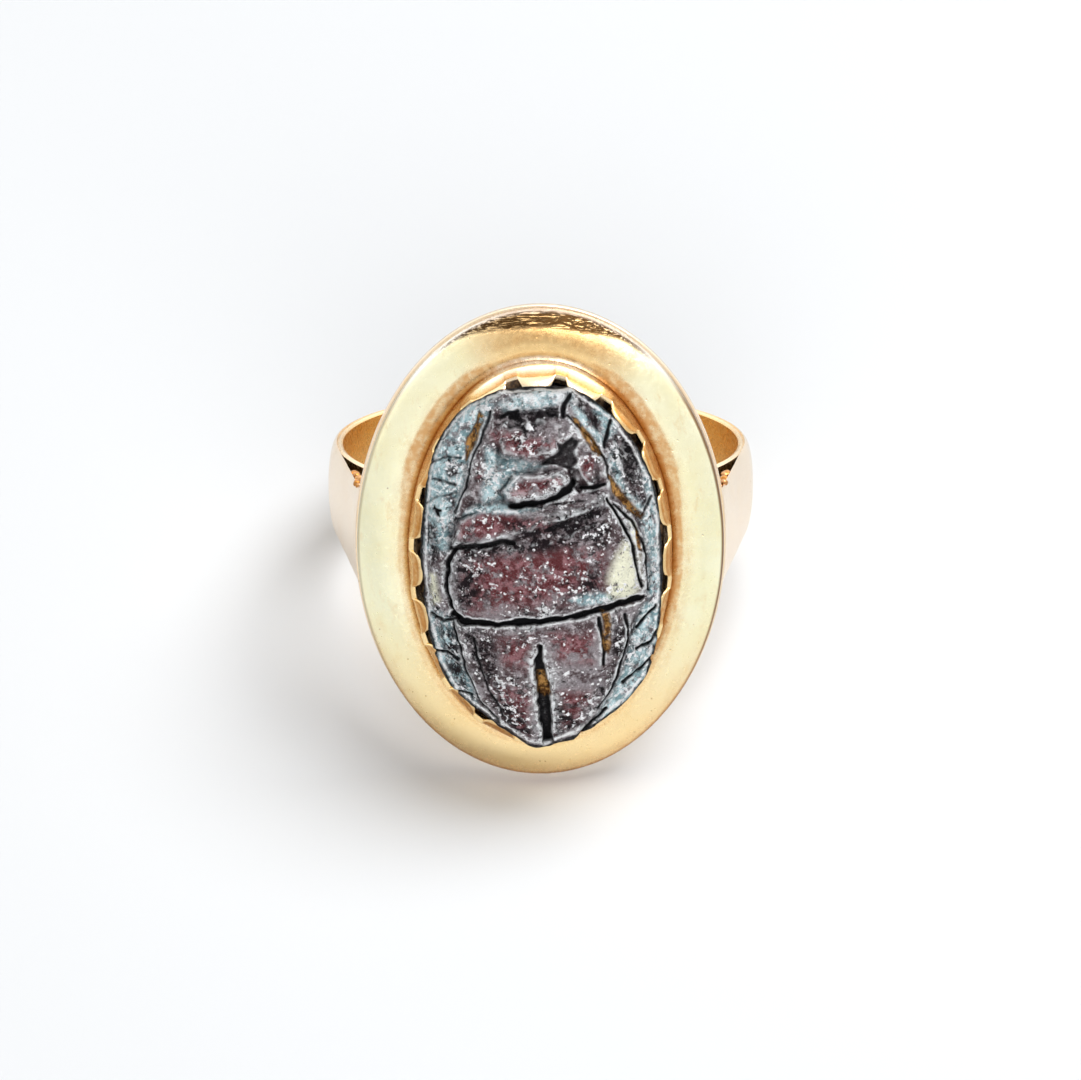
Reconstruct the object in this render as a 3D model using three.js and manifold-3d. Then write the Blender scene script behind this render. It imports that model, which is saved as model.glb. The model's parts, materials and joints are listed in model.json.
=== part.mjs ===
// A gold finger ring whose oval bezel holds an ancient carved scarab seal.
// The ring is built in its own simple frame, in millimetres: X across the hand, Y along the finger
// towards the scarab's head, Z out through the bezel, with the centre of the finger hole at the origin.
// The whole ring is then turned into the pose in which it stands on a table.

import * as THREE from "three";
import { mergeVertices } from "three/addons/utils/BufferGeometryUtils.js";
import Module from "manifold-3d";

const wasm = await Module();
wasm.setup();

// Scarab: the carved stone, measured at its plinth, and its heights over the seal face
const SCARAB_WIDTH = 10.1;
const SCARAB_LENGTH = 15.1;
const SCARAB_HEIGHT = 5.55;
const PLINTH_HEIGHT = 1.3;
const WAIST_HEIGHT = 2.45;
const WAIST_INSET = 0.42;
const EDGE_HEIGHT = 3.1;
const EDGE_INSET = 0.05;
const SHOULDER_HEIGHT = 3.55;
const SHOULDER_INSET = 0.4;
const HEAD_DROP = 0.85;
const TAIL_DROP = 0.5;

// The wing cases with the thorax, and the head, stand a little over the flanks
const RELIEF = 0.35;
const BACK_INSET = 0.9;
const BACK_TAIL_INSET = 0.3;
const HEAD_REACH = 4.7;
const HEAD_WIDTH = 5.7;
const HEAD_LENGTH = 5.6;
const HEAD_TIP_INSET = 0.25;

const GROOVE_WIDTH = 0.24;
const GROOVE_DEPTH = 0.32;
const WING_SLOT_WIDTH = 0.6;
const WING_SLOT_LENGTH = 4.2;
const DRILL_RADIUS = 0.7;

// Grooves of the carving: from and to, as shares of the plinth's half width and half length. The cheek
// grooves and the wing case edges are cut once on each side.
const WING_SEAM_SHARES = { from: [-1, -0.27], to: [1, -0.17] };
const BROW_GROOVE_SHARES = { from: [-0.36, 0.76], to: [0.34, 0.78] };
const WING_SLOT_TIP_SHARE = -0.38;
const CHEEK_GROOVE_SHARES = { from: [0.69, 0.4], to: [0.4, 0.9] };
const WING_EDGE_GROOVE_SHARES = { from: [0.76, -0.29], to: [0.38, -0.885] };

// Leg grooves on both flanks: their angles towards the tail, and how far each slants on its way out
const LEG_GROOVE_ANGLES = [18, 27, 38, 64];
const LEG_GROOVE_SLANT = 7;
const LEG_GROOVE_SHARES = { inner: 0.82, outer: 1.15 };

// The dome over the shoulder: its ovals as shares of the shoulder, and the shape of its curve
const DOME_RING_SHARES = [1, 0.95, 0.86, 0.72, 0.52, 0.28, 0.06];
const DOME_SQUARENESS = 2.8;
const DOME_FULLNESS = 0.8;
const HEAD_DROP_SHARES = { from: 0.22, to: 0.95 };
const TAIL_DROP_SHARES = { from: 0.44, to: 1 };

// Cement bed round and under the plinth
const BED_FLOOR = 0.2;
const BED_SIDE = 0.21;
const BED_TAIL = 0.21;
const BED_HEAD = 0.57;
const BED_RISE = 1.85;

// Scalloped collar
const COLLAR_WALL = 0.18;
const COLLAR_FLARE = 0.14;
const COLLAR_WALL_HEIGHT = 2.45;
const LOBE_COUNT = 20;
const LOBE_HEIGHT = 0.6;
const LOBE_NOTCH_HEIGHT = 0.1;
const LOBE_LEAN = 0.3;
const LOBE_EDGE = 0.14;

// Domed frame round the collar
const CHANNEL_GAP = 0.06;
const FRAME_SIDE_BAND = 2.15;
const FRAME_END_BAND = 1.9;
const FRAME_CREST = 1.43;
const FRAME_WALL = 0.3;

// Base plate under the frame
const PLATE_STEP = 0.1;
const PLATE_THICKNESS = 0.42;

// Finger hoop: the liner that touches the finger, and the hollow shell round it
const BORE_RADIUS = 8.65;
const LINER_WALL = 0.32;
const BAND_WIDTH = 4.0;
const BAND_TAPER_SHARE = 0.015;
const SHELL_WALL = 0.17;
const SHELL_CROWN = 0.38;
const SHELL_PLATE_CROWN = 0.22;

// The hard-solder film between pieces that are joined face to face
const SOLDER_FILM = 0.02;

// Facets of the round forms
const OVAL_STEPS = 72;
const STEPS_PER_LOBE = 6;
const HOOP_STEPS = 72;
const SHOULDER_STEPS = 4;
const SHELL_ARC_STEPS = 32;
const CROWN_STEPS = 8;
const DRILL_STEPS = 12;
const WELD_DISTANCE = 1e-5;

// Heights, stacked up from the finger hole
const shellFootRadius = BORE_RADIUS + LINER_WALL + SOLDER_FILM;
const plateBottom = shellFootRadius;
const plateTop = plateBottom + PLATE_THICKNESS;
const settingBottom = plateTop + SOLDER_FILM;
const scarabBottom = settingBottom + BED_FLOOR + SOLDER_FILM;
const scarabTop = scarabBottom + SCARAB_HEIGHT;

// Half widths and half lengths, stacked outwards from the scarab
const collarInner = {
  x: SCARAB_WIDTH / 2 + BED_SIDE,
  y: (SCARAB_LENGTH + BED_HEAD + BED_TAIL) / 2,
};
const scarabCentreY = (BED_TAIL - BED_HEAD) / 2;
const collarOuter = grown(collarInner, COLLAR_WALL, COLLAR_WALL);
const collarFoot = grown(collarOuter, COLLAR_FLARE, COLLAR_FLARE);
const frameInner = grown(collarFoot, CHANNEL_GAP, CHANNEL_GAP);
const frameOuter = grown(frameInner, FRAME_SIDE_BAND, FRAME_END_BAND);
const plateHalf = grown(frameOuter, PLATE_STEP, PLATE_STEP);

function grown(oval, acrossX, alongY) {
  return { x: oval.x + acrossX, y: oval.y + alongY };
}

// Closed surfaces from a grid of points: rings[i] is one closed loop of points, all of equal count.
// A looped grid joins the last ring to the first; the other kind is capped at both ends.
function gridSurface(rings, looped) {
  const loop = rings[0].length;
  const positions = rings.flat().flatMap((p) => [p.x, p.y, p.z]);
  const index = [];
  const spans = looped ? rings.length : rings.length - 1;
  for (let i = 0; i < spans; i++) {
    const here = i * loop;
    const next = ((i + 1) % rings.length) * loop;
    for (let j = 0; j < loop; j++) {
      const k = (j + 1) % loop;
      index.push(here + j, next + j, next + k);
      index.push(here + j, next + k, here + k);
    }
  }
  const geometry = new THREE.BufferGeometry();
  geometry.setAttribute("position", new THREE.Float32BufferAttribute(positions, 3));
  geometry.setIndex(index);
  return geometry;
}

// The same, with flat ends filled by the triangles of the section's own outline
function cappedSurface(rings, outline) {
  const geometry = gridSurface(rings, false);
  const index = [...geometry.index.array];
  const last = (rings.length - 1) * rings[0].length;
  for (const [a, b, c] of THREE.ShapeUtils.triangulateShape(outline, [])) {
    index.push(a, c, b);
    index.push(last + a, last + b, last + c);
  }
  geometry.setIndex(index);
  return geometry;
}

// An oval ring whose section is swept round the bezel; place(angle, point) gives each corner
function ovalSweep(section, steps, place) {
  const rings = [];
  for (let i = 0; i < steps; i++) {
    const angle = (i / steps) * 2 * Math.PI;
    rings.push(section.map((corner) => place(angle, corner)));
  }
  return gridSurface(rings, true);
}

// A straight-sided oval block
function ovalBlock(half, bottom, top, centreY = 0) {
  const shape = new THREE.Shape();
  shape.absellipse(0, 0, half.x, half.y, 0, 2 * Math.PI);
  const geometry = new THREE.ExtrudeGeometry(shape, {
    depth: top - bottom,
    bevelEnabled: false,
    curveSegments: OVAL_STEPS / 2,
  });
  return geometry.translate(0, centreY, bottom);
}

// Joining and cutting
function solidOf(geometry) {
  const bare = geometry.clone();
  bare.deleteAttribute("normal");
  bare.deleteAttribute("uv");
  const merged = mergeVertices(bare, WELD_DISTANCE);
  const vertProperties = new Float32Array(merged.attributes.position.array);
  const triVerts = new Uint32Array(merged.index.array);
  return new wasm.Manifold(new wasm.Mesh({ numProp: 3, vertProperties, triVerts }));
}

function geometryOf(solid) {
  const mesh = solid.getMesh();
  const geometry = new THREE.BufferGeometry();
  geometry.setAttribute("position", new THREE.Float32BufferAttribute(mesh.vertProperties, 3));
  geometry.setIndex([...mesh.triVerts]);
  return geometry;
}

// Scarab: ovals stacked from the waist over the widest line to the crown, grown by a relief
function stoneBody(relief) {
  const oval = (inset, share, heightAt) =>
    Array.from({ length: OVAL_STEPS }, (_, i) => {
      const angle = (-i / OVAL_STEPS) * 2 * Math.PI;
      const x = share * (SCARAB_WIDTH / 2 - inset + relief) * Math.cos(angle);
      const y = share * (SCARAB_LENGTH / 2 - inset + relief) * Math.sin(angle);
      return new THREE.Vector3(x, scarabCentreY + y, scarabBottom + heightAt((2 * y) / SCARAB_LENGTH));
    });
  const dome = (share) => (yShare) => {
    const head = THREE.MathUtils.smoothstep(yShare, HEAD_DROP_SHARES.from, HEAD_DROP_SHARES.to);
    const tail = THREE.MathUtils.smoothstep(-yShare, TAIL_DROP_SHARES.from, TAIL_DROP_SHARES.to);
    const crown = SCARAB_HEIGHT - RELIEF - HEAD_DROP * head - TAIL_DROP * tail;
    const full = (1 - share ** DOME_SQUARENESS) ** DOME_FULLNESS;
    return SHOULDER_HEIGHT + (crown - SHOULDER_HEIGHT) * full + relief;
  };
  const rings = [
    oval(WAIST_INSET, 1, () => PLINTH_HEIGHT / 2),
    oval(WAIST_INSET, 1, () => WAIST_HEIGHT),
    oval(EDGE_INSET, 1, () => EDGE_HEIGHT),
    ...DOME_RING_SHARES.map((share) => oval(SHOULDER_INSET, share, dome(share))),
  ];
  const outline = rings[0].map((point) => new THREE.Vector2(point.x, point.y));
  return solidOf(cappedSurface(rings, outline));
}

// The ovals inside which the stone is raised: the wing cases with the thorax, and the head
function raisedFields() {
  const bottom = scarabBottom + WAIST_HEIGHT;
  const top = scarabTop + SCARAB_HEIGHT;
  const back = { x: SCARAB_WIDTH / 2 - BACK_INSET, y: (SCARAB_LENGTH - HEAD_REACH) / 2 };
  const backY = scarabCentreY - SCARAB_LENGTH / 2 + BACK_TAIL_INSET + back.y;
  const head = { x: HEAD_WIDTH / 2, y: HEAD_LENGTH / 2 };
  const headY = scarabCentreY + SCARAB_LENGTH / 2 - HEAD_TIP_INSET - head.y;
  return solidOf(ovalBlock(back, bottom, top, backY)).add(solidOf(ovalBlock(head, bottom, top, headY)));
}

// A thin upright blade that follows a groove on one side of the back
function blade(groove, width, side = 1) {
  const place = ([xShare, yShare]) =>
    new THREE.Vector2(
      (side * xShare * SCARAB_WIDTH) / 2,
      scarabCentreY + (yShare * SCARAB_LENGTH) / 2,
    );
  const [from, to] = [place(groove.from), place(groove.to)];
  const height = 2 * SCARAB_HEIGHT;
  const box = new THREE.BoxGeometry(from.distanceTo(to), width, height);
  box.rotateZ(Math.atan2(to.y - from.y, to.x - from.x));
  const middle = from.clone().add(to).divideScalar(2);
  return solidOf(box.translate(middle.x, middle.y, scarabBottom + PLINTH_HEIGHT + height / 2));
}

function legGroove(degrees) {
  const at = (share, angle) => {
    const turn = THREE.MathUtils.degToRad(angle);
    return [share * Math.cos(turn), -share * Math.sin(turn)];
  };
  return {
    from: at(LEG_GROOVE_SHARES.inner, degrees),
    to: at(LEG_GROOVE_SHARES.outer, degrees - LEG_GROOVE_SLANT),
  };
}

function wingSlot() {
  const shape = new THREE.Shape();
  shape.moveTo(0, 0);
  shape.lineTo(-WING_SLOT_WIDTH / 2, -WING_SLOT_LENGTH);
  shape.lineTo(WING_SLOT_WIDTH / 2, -WING_SLOT_LENGTH);
  shape.closePath();
  const geometry = new THREE.ExtrudeGeometry(shape, {
    depth: 2 * SCARAB_HEIGHT,
    bevelEnabled: false,
  });
  const tipY = scarabCentreY + (WING_SLOT_TIP_SHARE * SCARAB_LENGTH) / 2;
  return solidOf(geometry.translate(0, tipY, scarabBottom + PLINTH_HEIGHT));
}

function scarab() {
  const half = { x: SCARAB_WIDTH / 2, y: SCARAB_LENGTH / 2 };
  const plinthTop = scarabBottom + PLINTH_HEIGHT;
  let cuts = blade(WING_SEAM_SHARES, GROOVE_WIDTH).add(wingSlot());
  cuts = cuts.add(blade(BROW_GROOVE_SHARES, GROOVE_WIDTH));
  for (const side of [-1, 1]) {
    cuts = cuts.add(blade(CHEEK_GROOVE_SHARES, GROOVE_WIDTH, side));
    cuts = cuts.add(blade(WING_EDGE_GROOVE_SHARES, GROOVE_WIDTH / 2, side));
    for (const degrees of LEG_GROOVE_ANGLES) {
      cuts = cuts.add(blade(legGroove(degrees), GROOVE_WIDTH, side));
    }
  }
  const body = stoneBody(0).add(stoneBody(RELIEF).intersect(raisedFields()));
  const carved = body.subtract(cuts.subtract(stoneBody(-GROOVE_DEPTH)));
  const plinth = solidOf(ovalBlock(half, scarabBottom, plinthTop, scarabCentreY));
  const drill = new THREE.CylinderGeometry(DRILL_RADIUS, DRILL_RADIUS, 2 * SCARAB_LENGTH, DRILL_STEPS);
  drill.translate(0, 0, plinthTop + DRILL_RADIUS / 2);
  return geometryOf(plinth.add(carved).subtract(solidOf(drill)));
}

// Cement bed: a cup of mastic between collar, base plate and plinth
function cementBed() {
  const outside = grown(collarInner, -SOLDER_FILM, -SOLDER_FILM);
  const recess = {
    x: SCARAB_WIDTH / 2 + SOLDER_FILM,
    y: SCARAB_LENGTH / 2 + SOLDER_FILM,
  };
  const top = settingBottom + BED_FLOOR + BED_RISE;
  const cup = solidOf(ovalBlock(outside, settingBottom, top));
  const hollow = ovalBlock(recess, settingBottom + BED_FLOOR, top + BED_RISE, scarabCentreY);
  return geometryOf(cup.subtract(solidOf(hollow)));
}

// Scalloped collar: a strip that narrows from its foot to a bend, with its top edge cut into lobes
// that lean over the stone.
// The angle of equal steps along the rim comes from the oval's own length table.
function rimAngles(half, count) {
  const curve = new THREE.EllipseCurve(0, 0, half.x, half.y, 0, 2 * Math.PI);
  curve.arcLengthDivisions = 20 * count;
  return Array.from({ length: count }, (_, i) => curve.getUtoTmapping(i / count) * 2 * Math.PI);
}

function scallopedCollar() {
  const steps = LOBE_COUNT * STEPS_PER_LOBE;
  const bend = settingBottom + COLLAR_WALL_HEIGHT;
  const rings = rimAngles(collarOuter, steps).map((angle, i) => {
    const across = (2 * (i % STEPS_PER_LOBE)) / STEPS_PER_LOBE;
    const round = Math.sqrt(Math.max(0, 1 - (across > 1 ? 2 - across : across) ** 2));
    const rise = LOBE_NOTCH_HEIGHT + (LOBE_HEIGHT - LOBE_NOTCH_HEIGHT) * round;
    const lean = (LOBE_LEAN * rise) / LOBE_HEIGHT;
    const at = (inset, height) =>
      new THREE.Vector3(
        (collarOuter.x - inset) * Math.cos(angle),
        (collarOuter.y - inset) * Math.sin(angle),
        height,
      );
    return [
      at(-COLLAR_FLARE, settingBottom),
      at(0, bend),
      at(lean / 3, bend + rise / 2),
      at(lean + COLLAR_WALL - LOBE_EDGE, bend + rise),
      at(lean + COLLAR_WALL, bend + rise),
      at(lean / 3 + COLLAR_WALL, bend + rise / 2),
      at(COLLAR_WALL, bend),
      at(COLLAR_WALL - COLLAR_FLARE, settingBottom),
    ];
  });
  return gridSurface(rings, true);
}

// Domed frame: a formed sheet, open underneath, with an upright outer rim, a convex face that climbs
// inwards and a rolled inner edge. The first share runs outwards over the band, the second upwards.
const FRAME_FACE_SHARES = [
  [1, 0],
  [1, 0.36],
  [0.965, 0.44],
  [0.8, 0.64],
  [0.58, 0.84],
  [0.36, 0.96],
  [0.18, 1],
  [0.06, 0.96],
  [0, 0.84],
  [0, 0],
];

function domedFrame() {
  const bandShare = 1 - (2 * FRAME_WALL) / FRAME_SIDE_BAND;
  const crestShare = 1 - FRAME_WALL / FRAME_CREST;
  const outside = FRAME_FACE_SHARES.map(([out, up]) => ({ out, up }));
  const inside = outside.map(({ out, up }) => ({
    out: (1 - bandShare) / 2 + out * bandShare,
    up: up * crestShare,
  }));
  const section = [...outside, ...inside.reverse()];
  return ovalSweep(
    section,
    OVAL_STEPS,
    (angle, { out, up }) =>
      new THREE.Vector3(
        (frameInner.x + out * FRAME_SIDE_BAND) * Math.cos(angle),
        (frameInner.y + out * FRAME_END_BAND) * Math.sin(angle),
        settingBottom + up * FRAME_CREST,
      ),
  );
}

// Half the band's width at a height above the finger hole's centre: it narrows towards the back
function bandHalfWidth(height) {
  return BAND_WIDTH / 2 + BAND_TAPER_SHARE * height;
}

function fingerLiner() {
  const rings = [];
  for (let i = 0; i < HOOP_STEPS; i++) {
    const angle = (i / HOOP_STEPS) * 2 * Math.PI;
    const at = (radius, side) => {
      const height = radius * Math.sin(angle);
      return new THREE.Vector3(radius * Math.cos(angle), side * bandHalfWidth(height), height);
    };
    const outer = BORE_RADIUS + LINER_WALL;
    rings.push([at(BORE_RADIUS, -1), at(BORE_RADIUS, 1), at(outer, 1), at(outer, -1)]);
  }
  return gridSurface(rings, true);
}

// Shank shell: a hollow D-shaped channel that lies on the liner round the back of the finger,
// leaves it along a tangent at each shoulder and climbs to the underside of the base plate.
const shellTop = plateBottom - SOLDER_FILM;
const shoulderX = plateHalf.x - SHELL_PLATE_CROWN - SOLDER_FILM;
const shoulderAngle =
  Math.atan2(shellTop, shoulderX) - Math.acos(shellFootRadius / Math.hypot(shoulderX, shellTop));
const shoulderRun = Math.sqrt(shoulderX ** 2 + shellTop ** 2 - shellFootRadius ** 2);

function shellStations() {
  const stations = [];
  const tangentPoint = {
    x: shellFootRadius * Math.cos(shoulderAngle),
    z: shellFootRadius * Math.sin(shoulderAngle),
  };
  for (let i = 0; i < SHOULDER_STEPS; i++) {
    const left = 1 - i / SHOULDER_STEPS;
    stations.push({
      x: tangentPoint.x - left * shoulderRun * Math.sin(shoulderAngle),
      z: tangentPoint.z + left * shoulderRun * Math.cos(shoulderAngle),
      angle: shoulderAngle,
      crown: SHELL_CROWN + left * (SHELL_PLATE_CROWN - SHELL_CROWN),
    });
  }
  const sweep = Math.PI + 2 * shoulderAngle;
  for (let i = 0; i <= SHELL_ARC_STEPS; i++) {
    const angle = shoulderAngle - (i / SHELL_ARC_STEPS) * sweep;
    stations.push({
      x: shellFootRadius * Math.cos(angle),
      z: shellFootRadius * Math.sin(angle),
      angle,
      crown: SHELL_CROWN,
    });
  }
  const mirrored = stations
    .slice(0, SHOULDER_STEPS)
    .map((s) => ({ ...s, x: -s.x, angle: Math.PI - s.angle }))
    .reverse();
  return [...stations, ...mirrored];
}

function shellSection(crown, halfWidth) {
  const outer = [];
  const inner = [];
  for (let i = 0; i <= CROWN_STEPS; i++) {
    const turn = (i / CROWN_STEPS) * Math.PI;
    const across = Math.cos(turn);
    const out = i % CROWN_STEPS === 0 ? 0 : Math.sin(turn);
    outer.push(new THREE.Vector2(across * halfWidth, out * crown));
    inner.push(new THREE.Vector2(across * (halfWidth - SHELL_WALL), out * (crown - SHELL_WALL)));
  }
  return [...inner, ...outer.reverse()];
}

function shankShell() {
  const stations = shellStations();
  const rings = stations.map(({ x, z, angle, crown }, i) => {
    const atPlate = i === 0 || i === stations.length - 1;
    return shellSection(crown, BAND_WIDTH / 2).map((corner) => {
      const point = new THREE.Vector3(
        x + corner.y * Math.cos(angle),
        0,
        z + corner.y * Math.sin(angle),
      );
      if (atPlate) {
        const slide = (shellTop - point.z) / Math.abs(Math.cos(angle));
        point.x += slide * -Math.sin(angle) * Math.sign(Math.cos(angle));
        point.z = shellTop;
      }
      point.y = corner.x + Math.sign(corner.x) * (bandHalfWidth(point.z) - BAND_WIDTH / 2);
      return point;
    });
  });
  return cappedSurface(rings, shellSection(SHELL_CROWN, BAND_WIDTH / 2));
}

// Materials, in the colours of the worn gold, the glazed stone and the old cement
const finishes = {
  paleGold: { color: 0xe9cf8e, roughness: 0.28, metalness: 1 },
  roseGold: { color: 0xdfb487, roughness: 0.26, metalness: 1 },
  orangeGold: { color: 0xd99a4a, roughness: 0.35, metalness: 1 },
  steatite: { color: 0x6f6472, roughness: 0.5, metalness: 0 },
  cement: { color: 0xb08a5c, roughness: 0.9, metalness: 0 },
};

function piece(name, geometry, finish) {
  geometry.computeVertexNormals();
  const mesh = new THREE.Mesh(geometry, new THREE.MeshStandardMaterial(finishes[finish]));
  mesh.name = name;
  return mesh;
}

// The setting and the hoop
const setting = new THREE.Group();
setting.add(piece("scarab", scarab(), "steatite"));
setting.add(piece("cement_bed", cementBed(), "cement"));
setting.add(piece("scalloped_collar", scallopedCollar(), "orangeGold"));
setting.add(piece("domed_frame", domedFrame(), "paleGold"));
setting.add(piece("base_plate", ovalBlock(plateHalf, plateBottom, plateTop), "roseGold"));

const hoop = new THREE.Group();
hoop.add(piece("finger_liner", fingerLiner(), "orangeGold"));
hoop.add(piece("shank_shell", shankShell(), "roseGold"));

// The ring stands on the tail end of its base plate and on the back of its hoop. The lean is the slope
// of the table that touches the plate's lower edge and the oval section of the shell at the back.
function restingLean() {
  const halfWidth = bandHalfWidth(-shellFootRadius);
  const span = plateBottom + shellFootRadius;
  const a = span ** 2 - SHELL_CROWN ** 2;
  const b = plateHalf.y * span;
  const c = plateHalf.y ** 2 - halfWidth ** 2;
  return Math.atan((b - Math.sqrt(b ** 2 - a * c)) / a);
}

const ring = new THREE.Group();
ring.add(setting, hoop);
ring.rotation.x = Math.PI / 2 - restingLean();

const standing = new THREE.Group();
standing.add(ring);
standing.updateMatrixWorld(true);
const bounds = new THREE.Box3().setFromObject(standing, true);
const middle = bounds.getCenter(new THREE.Vector3());
ring.position.set(-middle.x, -middle.y, -bounds.min.z);

export default standing;
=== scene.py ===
"""Dresses the scarab ring: an oval gold bezel with a scalloped collar round a carved, glazed scarab."""

import json
import math

import bpy
import numpy as np
from mathutils import Matrix, Vector


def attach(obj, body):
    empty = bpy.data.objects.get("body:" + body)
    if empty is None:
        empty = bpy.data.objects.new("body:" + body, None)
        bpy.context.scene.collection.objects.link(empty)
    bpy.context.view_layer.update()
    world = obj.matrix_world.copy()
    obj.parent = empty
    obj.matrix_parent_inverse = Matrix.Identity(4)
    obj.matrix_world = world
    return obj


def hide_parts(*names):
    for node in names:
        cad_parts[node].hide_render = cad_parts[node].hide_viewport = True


bl_info = {
    "name": "Scarab Ring",
    "version": (1, 0, 0),
    "blender": (4, 5, 0),
    "location": "View3D > Sidebar > Scarab Ring",
    "description": "Models a gold scarab ring and the studio that it stands in",
    "category": "Add Mesh",
}

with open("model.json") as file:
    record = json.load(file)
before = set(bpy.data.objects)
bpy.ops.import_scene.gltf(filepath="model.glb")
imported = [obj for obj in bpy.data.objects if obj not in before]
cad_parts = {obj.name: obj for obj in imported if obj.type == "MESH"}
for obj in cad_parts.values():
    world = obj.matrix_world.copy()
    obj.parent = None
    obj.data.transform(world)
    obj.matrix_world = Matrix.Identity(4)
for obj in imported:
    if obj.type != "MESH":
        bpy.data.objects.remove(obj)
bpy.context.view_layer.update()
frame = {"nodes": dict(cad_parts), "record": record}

# The ring's own frame, in millimetres: X across the hand, Y along the finger towards the scarab's
# head, Z out through the bezel, with the centre of the finger hole at zero.
MM = 0.001
MOUNTS = {mount["name"]: mount for mount in frame["record"]["mounts"]}
FINGER_HOLE = frame["record"]["physics"]["openings"][0]["box_m"]
HOOP_CENTRE = (Vector(FINGER_HOLE[0]) + Vector(FINGER_HOLE[1])) / 2
FINGER_AXIS = (
    Vector(MOUNTS["liner_end_head_side"]["axis"]) - Vector(MOUNTS["liner_end_tail_side"]["axis"])
).normalized()
ACROSS = Vector((1, 0, 0))
BEZEL_AXIS = ACROSS.cross(FINGER_AXIS)
RING_TURN = Matrix((ACROSS, FINGER_AXIS, BEZEL_AXIS)).transposed()
FROM_RING = Matrix.Translation(HOOP_CENTRE) @ RING_TURN.to_4x4() @ Matrix.Scale(MM, 4)
TO_RING = FROM_RING.inverted()


def points_of(mesh):
    """A mesh's vertices as rows of three numbers."""
    flat = np.empty(len(mesh.vertices) * 3)
    mesh.vertices.foreach_get("co", flat)
    return flat.reshape(-1, 3)


def node_box(name):
    """The lowest and highest corner of a CAD node in the ring's own frame, in millimetres."""
    turn = np.array(TO_RING)
    points = points_of(frame["nodes"][name].data) @ turn[:3, :3].T + turn[:3, 3]
    return points.min(axis=0), points.max(axis=0)


FRAME_LOW, FRAME_HIGH = node_box("domed_frame")
PLATE_LOW, PLATE_HIGH = node_box("base_plate")
COLLAR_LOW, COLLAR_HIGH = node_box("scalloped_collar")
LINER_HIGH = node_box("finger_liner")[1]
SHELL_HIGH = node_box("shank_shell")[1]
BED_LOW, BED_HIGH = node_box("cement_bed")
STONE_LOW, STONE_HIGH = node_box("scarab")

# The photograph's camera in the ring's own frame: its scale, its distance in millimetres and its tilt
# from the bezel's axis
PHOTO_WIDTH = 1081
PHOTO_HEIGHT = 1080
PHOTO_PIXELS_PER_MM = 22.6
CAMERA_DISTANCE = 250.0
CAMERA_TILT = math.radians(15.8)
CAMERA_AIM = Vector((0.0, -2.6, 0.0))
CAMERA_SIGHT = Vector((0.0, math.sin(CAMERA_TILT), math.cos(CAMERA_TILT)))
CAMERA_UP = Vector((0.0, math.cos(CAMERA_TILT), -math.sin(CAMERA_TILT)))


def photo_pixels(points):
    """Where points in the ring's frame, in millimetres, lie in the photograph, in pixels."""
    away = points - np.array(CAMERA_AIM)
    depth = CAMERA_DISTANCE - away @ np.array(CAMERA_SIGHT)
    scale = PHOTO_PIXELS_PER_MM * CAMERA_DISTANCE / depth
    across = PHOTO_WIDTH / 2 + scale * away[:, 0]
    down = PHOTO_HEIGHT / 2 - scale * (away @ np.array(CAMERA_UP))
    return np.stack([across, down], axis=1)


def at_photo(pixels, height):
    """The points at one height over the finger hole's centre that lie at these photograph pixels."""
    pixels = np.asarray(pixels, float)
    right = (pixels[:, 0] - PHOTO_WIDTH / 2) / (PHOTO_PIXELS_PER_MM * CAMERA_DISTANCE)
    up = (PHOTO_HEIGHT / 2 - pixels[:, 1]) / (PHOTO_PIXELS_PER_MM * CAMERA_DISTANCE)
    sight, rise = np.array(CAMERA_SIGHT), np.array(CAMERA_UP)
    ray = np.outer(right, [1, 0, 0]) + np.outer(up, rise) - sight
    eye = np.array(CAMERA_AIM) + sight * CAMERA_DISTANCE
    return eye + ray * ((height - eye[2]) / ray[:, 2])[:, None]


# Helpers for meshes
def start():
    """Leaves edit mode and deselects everything, so that an operator acts on new work alone."""
    if bpy.context.object and bpy.context.object.mode != "OBJECT":
        bpy.ops.object.mode_set(mode="OBJECT")
    bpy.ops.object.select_all(action="DESELECT")


def on_whole_mesh(operator, **settings):
    """Runs one mesh operator on all of the active piece."""
    bpy.ops.object.mode_set(mode="EDIT")
    bpy.ops.mesh.select_all(action="SELECT")
    operator(**settings)
    bpy.ops.object.mode_set(mode="OBJECT")


def move_points(piece, points):
    """Puts a piece's vertices at these rows of three numbers."""
    piece.data.vertices.foreach_set("co", np.ascontiguousarray(points, dtype=float).ravel())
    piece.data.update()


def write_attribute(piece, name, values):
    """Stores one number for each vertex, for a material to read."""
    layer = piece.data.attributes.new(name, "FLOAT", "POINT")
    layer.data.foreach_set("value", np.ascontiguousarray(values, dtype=np.float32))


def smoothstep(low, high, value):
    """0 at low and 1 at high with a soft climb between them, whichever of the two is the larger."""
    share = np.clip((value - low) / (high - low), 0, 1)
    return share * share * (3 - 2 * share)


def lumps(points, size, seed):
    """Smooth noise from -1 to 1 whose lumps are about size across."""
    cells = 32
    lattice = np.random.default_rng(seed).uniform(-1, 1, (cells, cells, cells))
    scaled = points / size
    whole = np.floor(scaled).astype(int)
    part = scaled - whole
    part = part * part * (3 - 2 * part)
    total = np.zeros(len(points))
    for corner in range(8):
        step = np.array([corner & 1, (corner >> 1) & 1, (corner >> 2) & 1])
        weight = np.prod(np.where(step, part, 1 - part), axis=1)
        x, y, z = ((whole + step) % cells).T
        total += weight * lattice[x, y, z]
    return total


# How loud three layers of noise are together
NOISE_SUM = 1.6


def roughness_of(points, size, seed):
    """Noise from three layers of lumps, each half as large and as strong as the one before."""
    return sum(lumps(points, size / 2**i, seed + i) / 2**i for i in range(3)) / NOISE_SUM


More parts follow.
